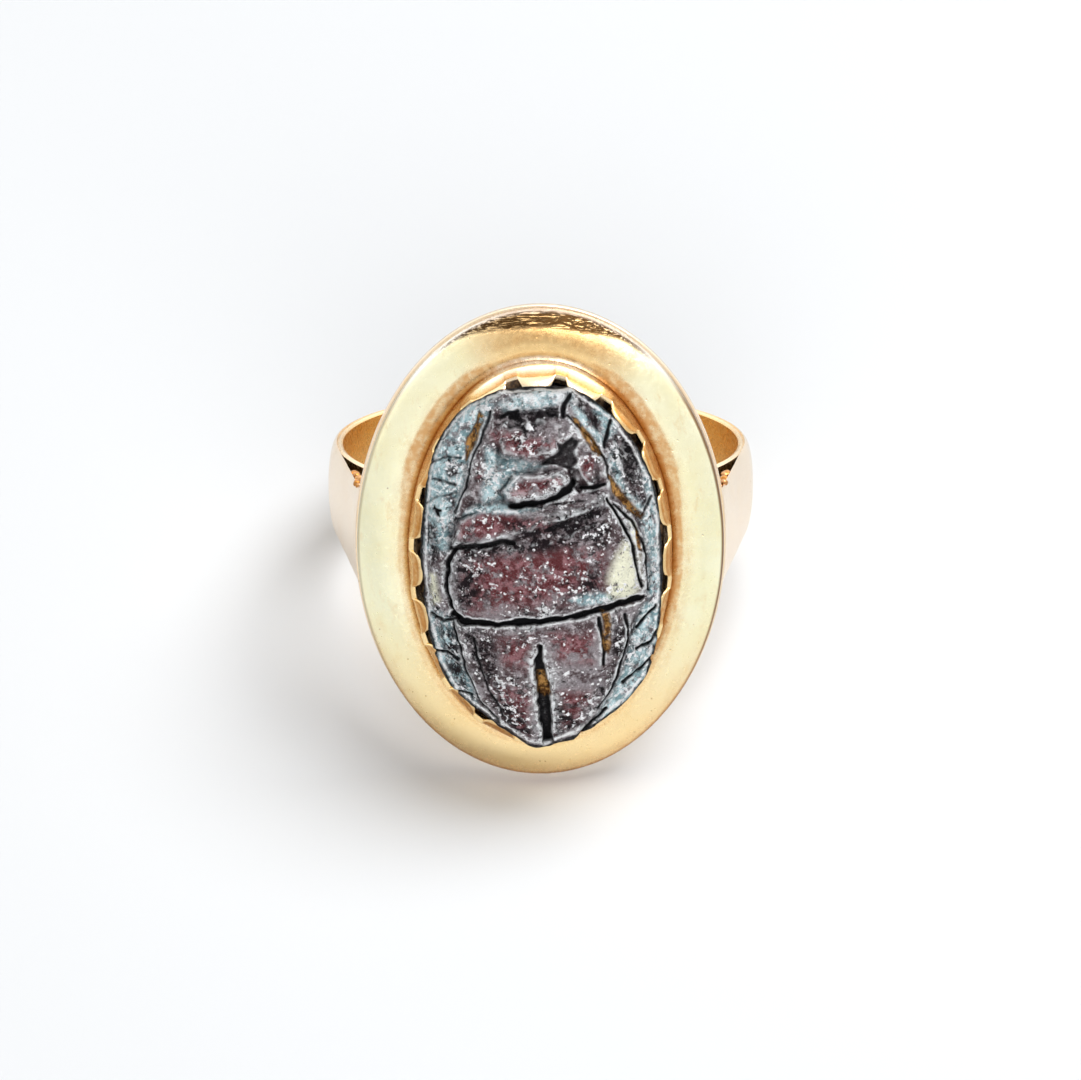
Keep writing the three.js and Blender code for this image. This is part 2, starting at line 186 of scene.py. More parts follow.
def to_polyline(pixels, line):
    """The distance in pixels from each point to a line through the given pixels."""
    nearest = np.full(len(pixels), np.inf)
    for a, b in zip(np.array(line[:-1], float), np.array(line[1:], float)):
        run = b - a
        share = np.clip(((pixels - a) @ run) / (run @ run), 0, 1)
        nearest = np.minimum(nearest, np.linalg.norm(pixels - a - share[:, None] * run, axis=1))
    return nearest


def to_polygon(pixels, corners):
    """The distance in pixels from each point to a closed outline, below zero inside it."""
    corners = np.array(corners, float)
    edge = to_polyline(pixels, [*corners, corners[0]])
    inside = np.zeros(len(pixels), bool)
    for a, b in zip(corners, np.roll(corners, -1, axis=0)):
        crosses = (a[1] > pixels[:, 1]) != (b[1] > pixels[:, 1])
        rise = b[1] - a[1] if b[1] != a[1] else 1
        inside ^= crosses & (pixels[:, 0] < a[0] + (pixels[:, 1] - a[1]) * (b[0] - a[0]) / rise)
    return np.where(inside, -edge, edge)


def evenly_along(path, count, scale=1.0):
    """A closed path as count points, evenly spaced by its length as it is when scaled."""
    steps = np.linalg.norm(np.diff(path * scale, axis=0), axis=1)
    length = np.concatenate([[0], np.cumsum(steps)])
    wanted = np.linspace(0, length[-1], count + 1)[:-1]
    return np.stack([np.interp(wanted, length, path[:, k]) for k in range(2)], axis=1)


# A rounded corner has this many points, and takes at most one of this many parts of each side
CORNER_POINTS = 7
PARTS_OF_SIDE = 2.05


def rounded_section(corners, radius, count):
    """A closed section with its corners rounded, as count evenly spaced points."""
    corners = np.array(corners, float)
    path = []
    for before, here, after in zip(np.roll(corners, 1, axis=0), corners, np.roll(corners, -1, axis=0)):
        back, on = before - here, after - here
        sides = np.linalg.norm(back), np.linalg.norm(on)
        reach = min(radius, sides[0] / PARTS_OF_SIDE, sides[1] / PARTS_OF_SIDE)
        first = here + back / sides[0] * reach
        last = here + on / sides[1] * reach
        for t in np.linspace(0, 1, CORNER_POINTS):
            path.append((1 - t) ** 2 * first + 2 * t * (1 - t) * here + t**2 * last)
    return evenly_along(np.array([*path, path[0]]), count)


# Points closer than this many mm are one, and faces that meet at less than this angle look smooth
MERGE_GAP = 1e-4
SMOOTH_ANGLE = math.radians(42)


def new_ring(name, around, across, place):
    """A ring-shaped piece: a grid primitive that is bent round twice and closed along its two seams.

    place(angles, corners) gives the points, and the marks that a material reads, for an array of angles
    round the ring and of whole steps round its section.
    """
    start()
    bpy.ops.mesh.primitive_grid_add(x_subdivisions=around, y_subdivisions=across, size=2)
    piece = bpy.context.object
    piece.name = name
    u, v = points_of(piece.data)[:, :2].T
    angles = np.rint((u + 1) / 2 * around) / around * 2 * math.pi
    corners = np.rint((v + 1) / 2 * across).astype(int) % across
    points, marks = place(angles, corners)
    move_points(piece, points)
    for mark, values in marks.items():
        write_attribute(piece, mark, values)
    on_whole_mesh(bpy.ops.mesh.remove_doubles, threshold=MERGE_GAP)
    return piece


def settle(piece, node, material):
    """Finishes a piece: faces out, smooth, in its place on the ring, and standing for its CAD node."""
    start()
    piece.select_set(True)
    bpy.context.view_layer.objects.active = piece
    on_whole_mesh(bpy.ops.mesh.normals_make_consistent, inside=False)
    bpy.ops.object.shade_smooth_by_angle(angle=SMOOTH_ANGLE)
    piece.data.transform(FROM_RING)
    piece.data.materials.clear()
    piece.data.materials.append(material)
    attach(piece, "root")
    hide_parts(node)


def apply_modifier(piece, kind, name, **settings):
    """Adds one modifier and applies it at once."""
    modifier = piece.modifiers.new(name, kind)
    for key, value in settings.items():
        setattr(modifier, key, value)
    bpy.context.view_layer.objects.active = piece
    bpy.ops.object.modifier_apply(modifier=modifier.name)


# Helpers for materials
class Nodes:
    """A short way to write a node tree."""

    def __init__(self, tree):
        self.tree = tree
        self.tree.nodes.clear()

    def add(self, kind, **settings):
        """A new node with its settings."""
        node = self.tree.nodes.new(kind)
        for key, value in settings.items():
            setattr(node, key, value)
        return node

    def link(self, source, target):
        """Joins an output to an input."""
        self.tree.links.new(source, target)

    def feed(self, socket, value):
        """Gives an input another node's output, a number or a colour."""
        if isinstance(value, bpy.types.NodeSocket):
            self.link(value, socket)
        elif isinstance(value, (int, float)):
            socket.default_value = value
        else:
            socket.default_value = (*value, 1)

    def spread(self, value, low, high, to_low=0.0, to_high=1.0):
        """A value from low to high, carried to another range and held inside it."""
        node = self.add("ShaderNodeMapRange", interpolation_type="SMOOTHSTEP")
        self.link(value, node.inputs["Value"])
        for key, number in zip(("From Min", "From Max", "To Min", "To Max"), (low, high, to_low, to_high)):
            node.inputs[key].default_value = number
        return node.outputs["Result"]

    def math(self, operation, first, second, clamp=False):
        """Two values put together, held between 0 and 1 if clamp is set."""
        node = self.add("ShaderNodeMath", operation=operation, use_clamp=clamp)
        self.feed(node.inputs[0], first)
        self.feed(node.inputs[1], second)
        return node.outputs[0]


class Finish(Nodes):
    """The node tree of one of the ring's materials."""

    def __init__(self, name):
        self.material = bpy.data.materials.new(name)
        self.material.use_nodes = True
        super().__init__(self.material.node_tree)
        output = self.add("ShaderNodeOutputMaterial")
        self.shader = self.add("ShaderNodeBsdfPrincipled")
        self.link(self.shader.outputs[0], output.inputs["Surface"])
        self.place = self.ring_place()

    def mapped(self, vector, location, rotation, scale):
        """A vector scaled, turned and moved."""
        mapping = self.add("ShaderNodeMapping", vector_type="POINT")
        mapping.inputs["Location"].default_value = location
        mapping.inputs["Rotation"].default_value = rotation
        mapping.inputs["Scale"].default_value = scale
        self.link(vector, mapping.inputs["Vector"])
        return mapping.outputs["Vector"]

    def ring_place(self):
        """Object coordinates, turned and scaled to the ring's own frame in millimetres."""
        coordinates = self.add("ShaderNodeTexCoord").outputs["Object"]
        turn = RING_TURN.transposed().to_euler()
        return self.mapped(coordinates, TO_RING.translation, turn, (1 / MM, 1 / MM, 1 / MM))

    def stretched(self, scale, turn=(0, 0, 0)):
        """The place with its axes scaled and turned, which draws a texture out into streaks."""
        return self.mapped(self.place, (0, 0, 0), turn, scale)

    def noise(self, scale, detail, roughness=0.5, vector=None, distortion=0.0):
        """Cloudy noise, with scale as its lumps in a millimetre."""
        node = self.add("ShaderNodeTexNoise")
        node.inputs["Scale"].default_value = scale
        node.inputs["Detail"].default_value = detail
        node.inputs["Roughness"].default_value = roughness
        node.inputs["Distortion"].default_value = distortion
        self.link(vector or self.place, node.inputs["Vector"])
        return node.outputs["Fac"]

    def cells(self, scale):
        """The distance to the nearest of many scattered points."""
        node = self.add("ShaderNodeTexVoronoi", feature="F1")
        node.inputs["Scale"].default_value = scale
        self.link(self.place, node.inputs["Vector"])
        return node.outputs["Distance"]

    def attribute(self, name):
        """A share that the piece's vertices carry."""
        return self.add("ShaderNodeAttribute", attribute_name=name).outputs["Fac"]

    def painted(self, name, texture, low, high, to_low=0.0, to_high=1.0):
        """A share that the piece's vertices carry, broken up by a texture."""
        broken = self.spread(texture, low, high, to_low, to_high)
        return self.math("MULTIPLY", self.attribute(name), broken, clamp=True)

    def blend(self, share, first, second):
        """One colour laid over another, by a share."""
        node = self.add("ShaderNodeMix", data_type="RGBA")
        self.feed(node.inputs["Factor"], share)
        self.feed(node.inputs[6], first)
        self.feed(node.inputs[7], second)
        return node.outputs[2]

    def bumps(self, layers):
        """Bumps laid over one another: each is (height value, depth in metres, strength)."""
        normal = None
        for height, depth, strength in layers:
            node = self.add("ShaderNodeBump")
            node.inputs["Strength"].default_value = strength
            node.inputs["Distance"].default_value = depth
            self.link(height, node.inputs["Height"])
            if normal:
                self.link(normal, node.inputs["Normal"])
            normal = node.outputs["Normal"]
        self.link(normal, self.shader.inputs["Normal"])


# What wear and age leave on the gold, and the painted highlights, shade and reflections on it
DULLED_GOLD = (0.80, 0.58, 0.28)
WARM_GOLD_AND_REFLECTION = (0.92, 0.65, 0.30)
HIGHLIGHT_GOLD = (0.98, 0.95, 0.86)
EDGE_SHADOW = (0.22, 0.115, 0.045)
PIT_BROWN = (0.42, 0.22, 0.08)
ORANGE_PATINA_AND_REFLECTION = (0.53, 0.24, 0.058)
GROOVE_DIRT_AND_SHADE = (0.34, 0.12, 0.02)
DARK_REFLECTION_GOLD = (0.50, 0.30, 0.13)
DARKEST_REFLECTION = (0.055, 0.026, 0.008)
SCRATCH_DEPTH = 0.000012


def gold(name, colour, deep, roughness):
    """Old polished gold: soft dents, fine scratches, pits, and the marks that the piece carries, painted
    highlights, shade and reflections among them.
    """
    nodes = Finish(name)
    nodes.shader.inputs["Metallic"].default_value = 1.0
    pits = nodes.spread(nodes.cells(1.6), 0.035, 0.075, 1.0, 0.0)
    tint = nodes.blend(nodes.spread(nodes.noise(0.5, 3, 0.55), 0.3, 0.7), colour, deep)
    mottle = nodes.spread(nodes.noise(1.5, 6, 0.72, nodes.stretched((1.0, 0.5, 1.0))), 0.52, 0.68, 0.0, 0.3)
    tint = nodes.blend(mottle, tint, DULLED_GOLD)
    # Deeper gold with painted reflection at the two ends, painted highlights, and painted shade along the
    # outer wall
    for mark, tone in (("warmth_and_reflection", WARM_GOLD_AND_REFLECTION), ("painted_highlight", HIGHLIGHT_GOLD), ("rim", EDGE_SHADOW)):
        tint = nodes.blend(nodes.attribute(mark), tint, tone)
    tint = nodes.blend(nodes.math("MULTIPLY", pits, 0.5), tint, PIT_BROWN)
    # Orange patina with painted reflection, broken up
    patina_and_reflection = nodes.painted("patina_and_reflection", nodes.noise(2.6, 6, 0.68), 0.34, 0.6, 0.62, 1.0)
    tint = nodes.blend(patina_and_reflection, tint, ORANGE_PATINA_AND_REFLECTION)
    # Dirt and painted shade in grooves and creases
    tint = nodes.blend(nodes.attribute("groove_dirt_and_shade"), tint, GROOVE_DIRT_AND_SHADE)
    # The scratched band at the head end, darkened with painted reflection, with darker streaks
    tint = nodes.blend(nodes.math("MULTIPLY", nodes.attribute("dark_reflection_band"), 0.5), tint, DARK_REFLECTION_GOLD)
    streaks = nodes.noise(2.2, 7, 0.75, nodes.stretched((0.55, 5.0, 5.0)), 0.4)
    streaked_dark_reflection = nodes.painted("dark_reflection_band", streaks, 0.44, 0.51)
    tint = nodes.blend(streaked_dark_reflection, tint, DARKEST_REFLECTION)
    nodes.link(tint, nodes.shader.inputs["Base Color"])
    polish = nodes.spread(nodes.noise(5.0, 4, 0.6), 0.3, 0.7, roughness - 0.04, roughness + 0.08)
    polish = nodes.math("ADD", polish, nodes.math("MULTIPLY", patina_and_reflection, 0.12))
    polish = nodes.math("ADD", polish, nodes.math("MULTIPLY", streaked_dark_reflection, 0.15))
    nodes.link(polish, nodes.shader.inputs["Roughness"])
    scratch_a = nodes.noise(3.2, 5, 0.7, nodes.stretched((1.0, 14.0, 6.0), (0.0, 0.0, 0.5)))
    scratch_b = nodes.noise(3.0, 5, 0.7, nodes.stretched((13.0, 1.0, 6.0), (0.0, 0.0, 0.25)))
    nodes.bumps(
        [
            (nodes.noise(0.9, 3, 0.5), 0.00005, 0.5),
            (scratch_a, SCRATCH_DEPTH, 0.35),
            (scratch_b, SCRATCH_DEPTH, 0.3),
            (nodes.math("MULTIPLY", pits, -1.0), 0.00003, 0.6),
            (nodes.math("MULTIPLY", streaked_dark_reflection, -1.0), 0.00004, 0.8),
        ]
    )
    return nodes.material


# The stone's finishes where it is worn, glazed, stained or filled with earth, and its painted shade,
# highlights and glints
PALE_GRAIN = (0.50, 0.46, 0.48)
WORN_RED = (0.32, 0.15, 0.165)
DEEP_GLAZE = (0.235, 0.375, 0.41)
BLEACHED_GLAZE = (0.93, 0.97, 0.98)
CREAM = (0.92, 0.91, 0.72)
PIT_BLACK = (0.004, 0.003, 0.004)
STAIN_AND_SHADE_BLACK = (0.012, 0.007, 0.009)
GLINT_WHITE = (0.96, 0.96, 0.98)
VALLEY_SHADE = (0.008, 0.007, 0.009)
RIDGE_HIGHLIGHT = (0.93, 0.96, 0.98)
EDGE_HIGHLIGHT = (0.96, 0.97, 0.98)
CUT_SHADE_BLACK = (0.006, 0.006, 0.007)
EARTH_BROWN = (0.10, 0.04, 0.010)
EARTH_OCHRE = (0.62, 0.33, 0.10)
STONE_SHEEN = 0.12


def glazed_stone(name, sizes):
    """Weathered steatite: mauve and grey where the glaze is gone, blue where it stays, with painted shade in
    the cuts and hollows and painted highlights on ridges and rims.
    """
    nodes = Finish(name)
    grain = nodes.noise(4.6, 6, 0.72)
    fine = nodes.noise(9.0, 4, 0.65)
    patch = nodes.math("MULTIPLY", nodes.math("SUBTRACT", nodes.noise(0.75, 3, 0.6), 0.5), 0.5)
    tint = nodes.blend(nodes.spread(nodes.noise(1.1, 7, 0.74), 0.44, 0.56), sizes.mauve, sizes.grey)
    tint = nodes.blend(nodes.spread(grain, 0.53, 0.6), tint, PALE_GRAIN)
    red = nodes.painted("red", nodes.noise(1.6, 7, 0.76), 0.42, 0.5)
    reds = nodes.blend(nodes.spread(nodes.noise(2.4, 6, 0.76), 0.47, 0.57), sizes.maroon, WORN_RED)
    tint = nodes.blend(red, tint, reds)
    blues = nodes.blend(nodes.spread(nodes.noise(1.2, 6, 0.72), 0.44, 0.56), sizes.glaze, DEEP_GLAZE)
    blues = nodes.blend(nodes.spread(grain, 0.5, 0.57), blues, BLEACHED_GLAZE)
    tint = nodes.blend(nodes.painted("glaze", nodes.noise(1.7, 7, 0.76), 0.5, 0.6, 1.0, 0.1), tint, blues)
    tint = nodes.blend(nodes.painted("cream", grain, 0.36, 0.44), tint, CREAM)
    pitted = nodes.math("ADD", nodes.noise(3.2, 7, 0.8, distortion=0.8), patch)
    black = nodes.spread(pitted, 0.375, 0.42, 1.0, 0.0)
    tint = nodes.blend(nodes.math("MULTIPLY", black, 0.97), tint, PIT_BLACK)
    # Black stains, and painted shade below ridges and on the right flank
    shade = nodes.painted("stained_and_shaded", nodes.noise(2.6, 7, 0.78), 0.48, 0.56, 1.0, 0.1)
    tint = nodes.blend(shade, tint, STAIN_AND_SHADE_BLACK)
    # Painted glints: small white specks and dots
    speckled = nodes.noise(3.9, 5, 0.7, nodes.stretched((1, 1, 1), (0.4, 0.7, 0.2)))
    white = nodes.spread(nodes.math("SUBTRACT", speckled, patch), 0.59, 0.61)
    dots = nodes.spread(nodes.cells(2.7), 0.16, 0.21, 1.0, 0.0)
    dots = nodes.math("MULTIPLY", dots, nodes.spread(nodes.noise(1.4, 4, 0.6), 0.53, 0.57), clamp=True)
    tint = nodes.blend(nodes.math("MAXIMUM", white, dots), tint, GLINT_WHITE)
    # Painted shade in the valleys of the relief
    tint = nodes.blend(nodes.math("MULTIPLY", nodes.attribute("valley_shade"), 0.9), tint, VALLEY_SHADE)
    # Painted highlight on the ridges of the relief
    ridge_highlight = nodes.painted("ridge_highlight", grain, 0.42, 0.5)
    tint = nodes.blend(nodes.math("MULTIPLY", ridge_highlight, 0.85), tint, RIDGE_HIGHLIGHT)
    # Painted highlight along cut rims and just inside the stone's border
    tint = nodes.blend(nodes.painted("edge", grain, 0.4, 0.48), tint, EDGE_HIGHLIGHT)
    # Painted shade in the cuts and hollows and where the stone dips under the collar
    dark = nodes.painted("dark", fine, 0.3, 0.6, 0.9, 1.2)
    tint = nodes.blend(dark, tint, CUT_SHADE_BLACK)
    residue = nodes.painted("residue", nodes.noise(3.0, 6, 0.75), 0.38, 0.46)
    earth = nodes.blend(nodes.spread(nodes.noise(3.4, 6, 0.75), 0.46, 0.56), EARTH_BROWN, EARTH_OCHRE)
    tint = nodes.blend(residue, tint, earth)
    nodes.link(tint, nodes.shader.inputs["Base Color"])
    polish = nodes.spread(nodes.noise(3.0, 5, 0.7), 0.35, 0.65, 0.12, 0.45)
    dull = nodes.math("MAXIMUM", nodes.math("MAXIMUM", black, dark), shade)
    polish = nodes.math("MAXIMUM", polish, nodes.math("MULTIPLY", dull, 0.85))
    nodes.link(polish, nodes.shader.inputs["Roughness"])
    nodes.shader.inputs["Specular IOR Level"].default_value = STONE_SHEEN
    nodes.bumps(
        [
            (nodes.noise(2.2, 6, 0.68), 0.00035, 0.9),
            (grain, 0.00022, 1.0),
            (fine, 0.00008, 0.9),
            (nodes.math("MULTIPLY", black, -1.0), 0.00018, 0.9),
        ]
    )
    return nodes.material


CEMENT_DIRT = (0.05, 0.024, 0.010)
CEMENT_TAN = (0.38, 0.23, 0.11)


def mastic(name):
    """Crumbly old cement, tan with darker dirt."""
    nodes = Finish(name)
    tint = nodes.blend(nodes.spread(nodes.noise(3.0, 6, 0.7), 0.42, 0.66), CEMENT_DIRT, CEMENT_TAN)
    nodes.link(tint, nodes.shader.inputs["Base Color"])
    nodes.link(nodes.spread(nodes.noise(6, 4), 0.3, 0.7, 0.55, 0.95), nodes.shader.inputs["Roughness"])
    nodes.bumps([(nodes.noise(5.0, 7, 0.75), 0.00022, 0.9)])
    return nodes.material


def in_mm(group, *names):
    """Some of a group's lengths, in the millimetres of the ring's own frame."""
    return [getattr(group, name) / MM for name in names]


# Settings that a user would change. Blender holds lengths in metres
class ScarabSettings(bpy.types.PropertyGroup):
    """Sizes and colours of the carved stone."""

    rows: bpy.props.IntProperty(
        name="Rows", description="Rows of faces from head to tail", default=380, min=60
    )
    columns: bpy.props.IntProperty(
        name="Columns", description="Columns of faces from side to side", default=258, min=60
    )
    mauve: bpy.props.FloatVectorProperty(
        name="Mauve", description="Bare stone, darker patches", subtype="COLOR", size=3,
        default=(0.088, 0.058, 0.062), min=0, max=1,
    )
    grey: bpy.props.FloatVectorProperty(
        name="Grey", description="Bare stone, lighter patches", subtype="COLOR", size=3,
        default=(0.30, 0.27, 0.285), min=0, max=1,
    )
    maroon: bpy.props.FloatVectorProperty(
        name="Maroon", description="Red patches on the back", subtype="COLOR", size=3,
        default=(0.115, 0.025, 0.028), min=0, max=1,
    )
    glaze: bpy.props.FloatVectorProperty(
        name="Glaze", description="Blue glaze that is left on the flanks", subtype="COLOR", size=3,
        default=(0.54, 0.72, 0.765), min=0, max=1,
    )


class SettingSettings(bpy.types.PropertyGroup):
    """Sizes of the gold setting."""

    lobes: bpy.props.IntProperty(
        name="Lobes", description="Scallops along the collar's rim", default=20, min=4
    )
    lobe_height: bpy.props.FloatProperty(
        name="Lobe height", description="From the bend to a lobe's tip",
        unit="LENGTH", precision=5, default=0.6 * MM, min=0.1 * MM,
    )
    lobe_lean: bpy.props.FloatProperty(
        name="Lobe lean", description="How far a lobe's tip leans over the stone",
        unit="LENGTH", precision=5, default=0.4 * MM, min=0,
    )
    collar_wall: bpy.props.FloatProperty(
        name="Collar wall", description="Thickness of the collar strip",
        unit="LENGTH", precision=5, default=0.12 * MM, min=0.05 * MM,
    )
    collar_flare: bpy.props.FloatProperty(
        name="Collar flare", description="How far the collar's foot stands out",
        unit="LENGTH", precision=5, default=0.14 * MM, min=0,
    )
    channel_gap: bpy.props.FloatProperty(
        name="Channel gap", description="From the collar's foot to the frame, below zero into it",
        unit="LENGTH", precision=5, default=-0.03 * MM, min=-0.1 * MM,
    )
    frame_wall: bpy.props.FloatProperty(
        name="Frame wall", description="Thickness of the formed sheet",
        unit="LENGTH", precision=5, default=0.3 * MM, min=0.05 * MM,
    )


class HoopSettings(bpy.types.PropertyGroup):
    """Sizes of the finger hoop."""

    liner_wall: bpy.props.FloatProperty(
        name="Liner wall", description="Thickness of the finger liner",
        unit="LENGTH", precision=5, default=0.27 * MM, min=0.05 * MM,
    )
    shell_wall: bpy.props.FloatProperty(
        name="Shell wall", description="Thickness of the shank shell",
        unit="LENGTH", precision=5, default=0.17 * MM, min=0.05 * MM,
    )
    crown: bpy.props.FloatProperty(
        name="Crown", description="How far the shell bulges round the finger",
        unit="LENGTH", precision=5, default=0.38 * MM, min=0.1 * MM,
    )
    plate_crown: bpy.props.FloatProperty(
        name="Crown at plate", description="How far the shell bulges where it meets the plate",
        unit="LENGTH", precision=5, default=0.22 * MM, min=0.05 * MM,
    )


class GoldSettings(bpy.types.PropertyGroup):
    """Colours of the gold."""

    pale: bpy.props.FloatVectorProperty(
        name="Pale gold", description="The bezel's face", subtype="COLOR", size=3,
        default=(0.95, 0.92, 0.66), min=0, max=1,
    )
    rose: bpy.props.FloatVectorProperty(
        name="Rose gold", description="Outside of the shank and edge of the plate", subtype="COLOR", size=3,
        default=(0.88, 0.73, 0.55), min=0, max=1,
    )
    orange: bpy.props.FloatVectorProperty(
        name="Orange gold", description="The collar", subtype="COLOR", size=3,
        default=(0.90, 0.69, 0.37), min=0, max=1,
    )
    # Deeper orange than the face: partly a painted reflection of the gold round it inside the hoop
    inner: bpy.props.FloatVectorProperty(
        name="Inner gold", description="Inside of the hoop", subtype="COLOR", size=3,
        default=(0.82, 0.54, 0.20), min=0, max=1,
    )


# Carving of the scarab, in the photograph's pixels
STONE_OUTLINE = [
    (540, 386), (577, 390), (612, 415), (636, 445), (652, 480), (659, 520), (661, 560), (661, 600),
    (657, 640), (645, 678), (625, 702), (595, 724), (565, 737), (545, 744), (528, 742), (508, 729),
    (480, 711), (455, 690), (438, 660), (428, 620), (424, 580), (422, 545), (424, 505), (430, 465),
    (443, 430), (468, 404), (505, 390),
]

# Each cut: the line that it follows, its half width in pixels, its depth in mm and the darkness of its
# painted shade
CUTS = {
    "wing_case_seam": ([
        (452, 613), (463, 620), (500, 624), (530, 622), (570, 617), (602, 609), (642, 596),
    ], 3.1, 0.4, 1.0),
    "thorax_left_edge": ([(455, 549), (449, 562), (447, 585), (450, 602), (458, 618)], 2.1, 0.34, 0.95),
    "thorax_front_step": ([(452, 547), (478, 546), (500, 541), (514, 542)], 3.0, 0.2, 0.75),
    "thorax_front_shade": ([(552, 528), (570, 520), (590, 514)], 3.0, 0.08, 0.4),
    "thorax_right_line": ([(607, 500), (619, 520), (631, 545), (637, 570), (640, 586)], 1.5, 0.22, 0.95),
    "thorax_right_margin": ([(613, 505), (629, 520), (641, 542), (646, 565), (648, 590)], 1.5, 0.2, 0.9),
    "neck_shadow": ([(512, 507), (535, 503), (552, 498), (568, 490), (573, 481)], 3.0, 0.36, 1.0),
    "left_wing_outer": ([(453, 622), (459, 645), (467, 672), (480, 698), (500, 722)], 1.2, 0.16, 0.7),
    "left_wing_inner": ([(475, 636), (479, 660), (489, 687), (503, 712)], 1.3, 0.12, 0.75),
    "right_wing_inner": ([(598, 618), (604, 642), (603, 664)], 1.6, 0.2, 0.95),
    "right_wing_outer": ([(624, 612), (628, 638), (621, 665), (609, 690), (597, 706)], 1.35, 0.2, 0.85),
    "right_leg_1": ([(637, 627), (646, 617), (656, 605)], 1.7, 0.22, 0.85),
    "right_leg_2": ([(637, 650), (651, 641), (662, 624)], 1.7, 0.22, 0.85),
    "right_leg_3": ([(622, 684), (638, 670), (654, 657)], 1.7, 0.22, 0.85),
    "right_leg_4": ([(575, 735), (591, 722), (606, 708)], 1.6, 0.2, 0.85),
    "left_leg_1": ([(431, 612), (442, 620), (455, 618)], 1.5, 0.18, 0.75),
    "left_leg_2": ([(434, 650), (446, 652), (458, 660)], 1.6, 0.18, 0.7),
    "left_leg_3": ([(448, 690), (460, 690), (472, 694)], 1.5, 0.18, 0.7),
    "left_brow": ([(491, 412), (480, 440), (471, 465), (466, 490), (456, 512)], 1.3, 0.16, 0.55),
    "right_brow": ([(566, 417), (590, 440), (606, 466), (607, 478)], 1.3, 0.16, 0.65),
    "right_cheek_under": ([(582, 486), (592, 487), (603, 484)], 2.2, 0.2, 1.0),
    "right_flank_line": ([(611, 420), (606, 436), (603, 447)], 1.7, 0.16, 0.9),
    "left_flank_line_1": ([(427, 463), (445, 458), (462, 456)], 1.4, 0.08, 0.35),
    "left_flank_line_2": ([(426, 502), (440, 496), (456, 493)], 1.4, 0.08, 0.3),
    "left_flank_scratch": ([(433, 479), (445, 483), (456, 486)], 1.2, 0.06, 0.7),
    "right_flank_fork": ([(641, 514), (646, 504), (652, 496)], 1.3, 0.1, 0.7),
    "muzzle_cut": ([(569, 396), (563, 404), (561, 412), (562, 418)], 2.3, 0.26, 0.85),
    "muzzle_line": ([(500, 418), (508, 413), (518, 411)], 1.4, 0.16, 0.6),
}

# Each hollow: its outline, its depth in mm and the darkness of its painted shade
HOLLOWS = {
    "wing_slot": ([
        (539, 645), (535, 662), (536, 690), (539, 714), (541, 741), (552, 739), (551, 712), (549, 688),
        (545, 662), (542, 646),
    ], 0.62, 0.74),
    "eye_hollow": ([
        (624, 438), (634, 448), (640, 464), (635, 482), (626, 476), (618, 462), (618, 447),
    ], 0.16, 0.45),
    "head_hollow": ([
        (554, 441), (562, 443), (570, 437), (576, 442), (574, 452), (577, 462), (570, 470), (562, 467),
        (548, 464), (538, 466), (550, 457), (558, 450),
    ], 0.24, 0.55),
    "neck_hollow": ([(566, 468), (578, 468), (587, 484), (580, 494), (573, 488), (570, 476)], 0.22, 0.25),
    "crown_hollow": ([
        (510, 416), (518, 412), (526, 420), (530, 433), (522, 431), (514, 428), (506, 430),
    ], 0.16, 0.45),
    "crown_pit": ([(544, 413), (551, 410), (557, 412), (556, 418), (548, 419)], 0.14, 0.45),
    "left_eye_pit": ([
        (434, 505), (436, 504), (438, 508), (442, 510), (442, 512), (439, 512), (440, 517), (437, 515),
        (436, 511), (433, 510),
    ], 0.16, 0.95),
}

# The cuts and the hollow whose rims carry a painted highlight
HIGHLIGHTED_EDGES = ("wing_case_seam", "wing_slot", "thorax_right_line")

# The two blocks that stand over the flanks, the head's and the back's, their rise in mm and the
# softness of their edge in pixels
BLOCKS = [
    [
        (480, 408), (500, 392), (575, 390), (590, 420), (606, 450), (612, 500), (540, 506), (455, 515),
        (466, 480), (476, 430),
    ],
    [
        (453, 540), (449, 590), (455, 620), (462, 650), (474, 690), (500, 725), (535, 748), (575, 735),
        (602, 704), (622, 665), (630, 625), (643, 600), (649, 575), (644, 540), (628, 508), (604, 496),
        (540, 505), (480, 508), (462, 520),
    ],
]
BLOCK_RISE = 0.35
BLOCK_SOFTNESS = 8

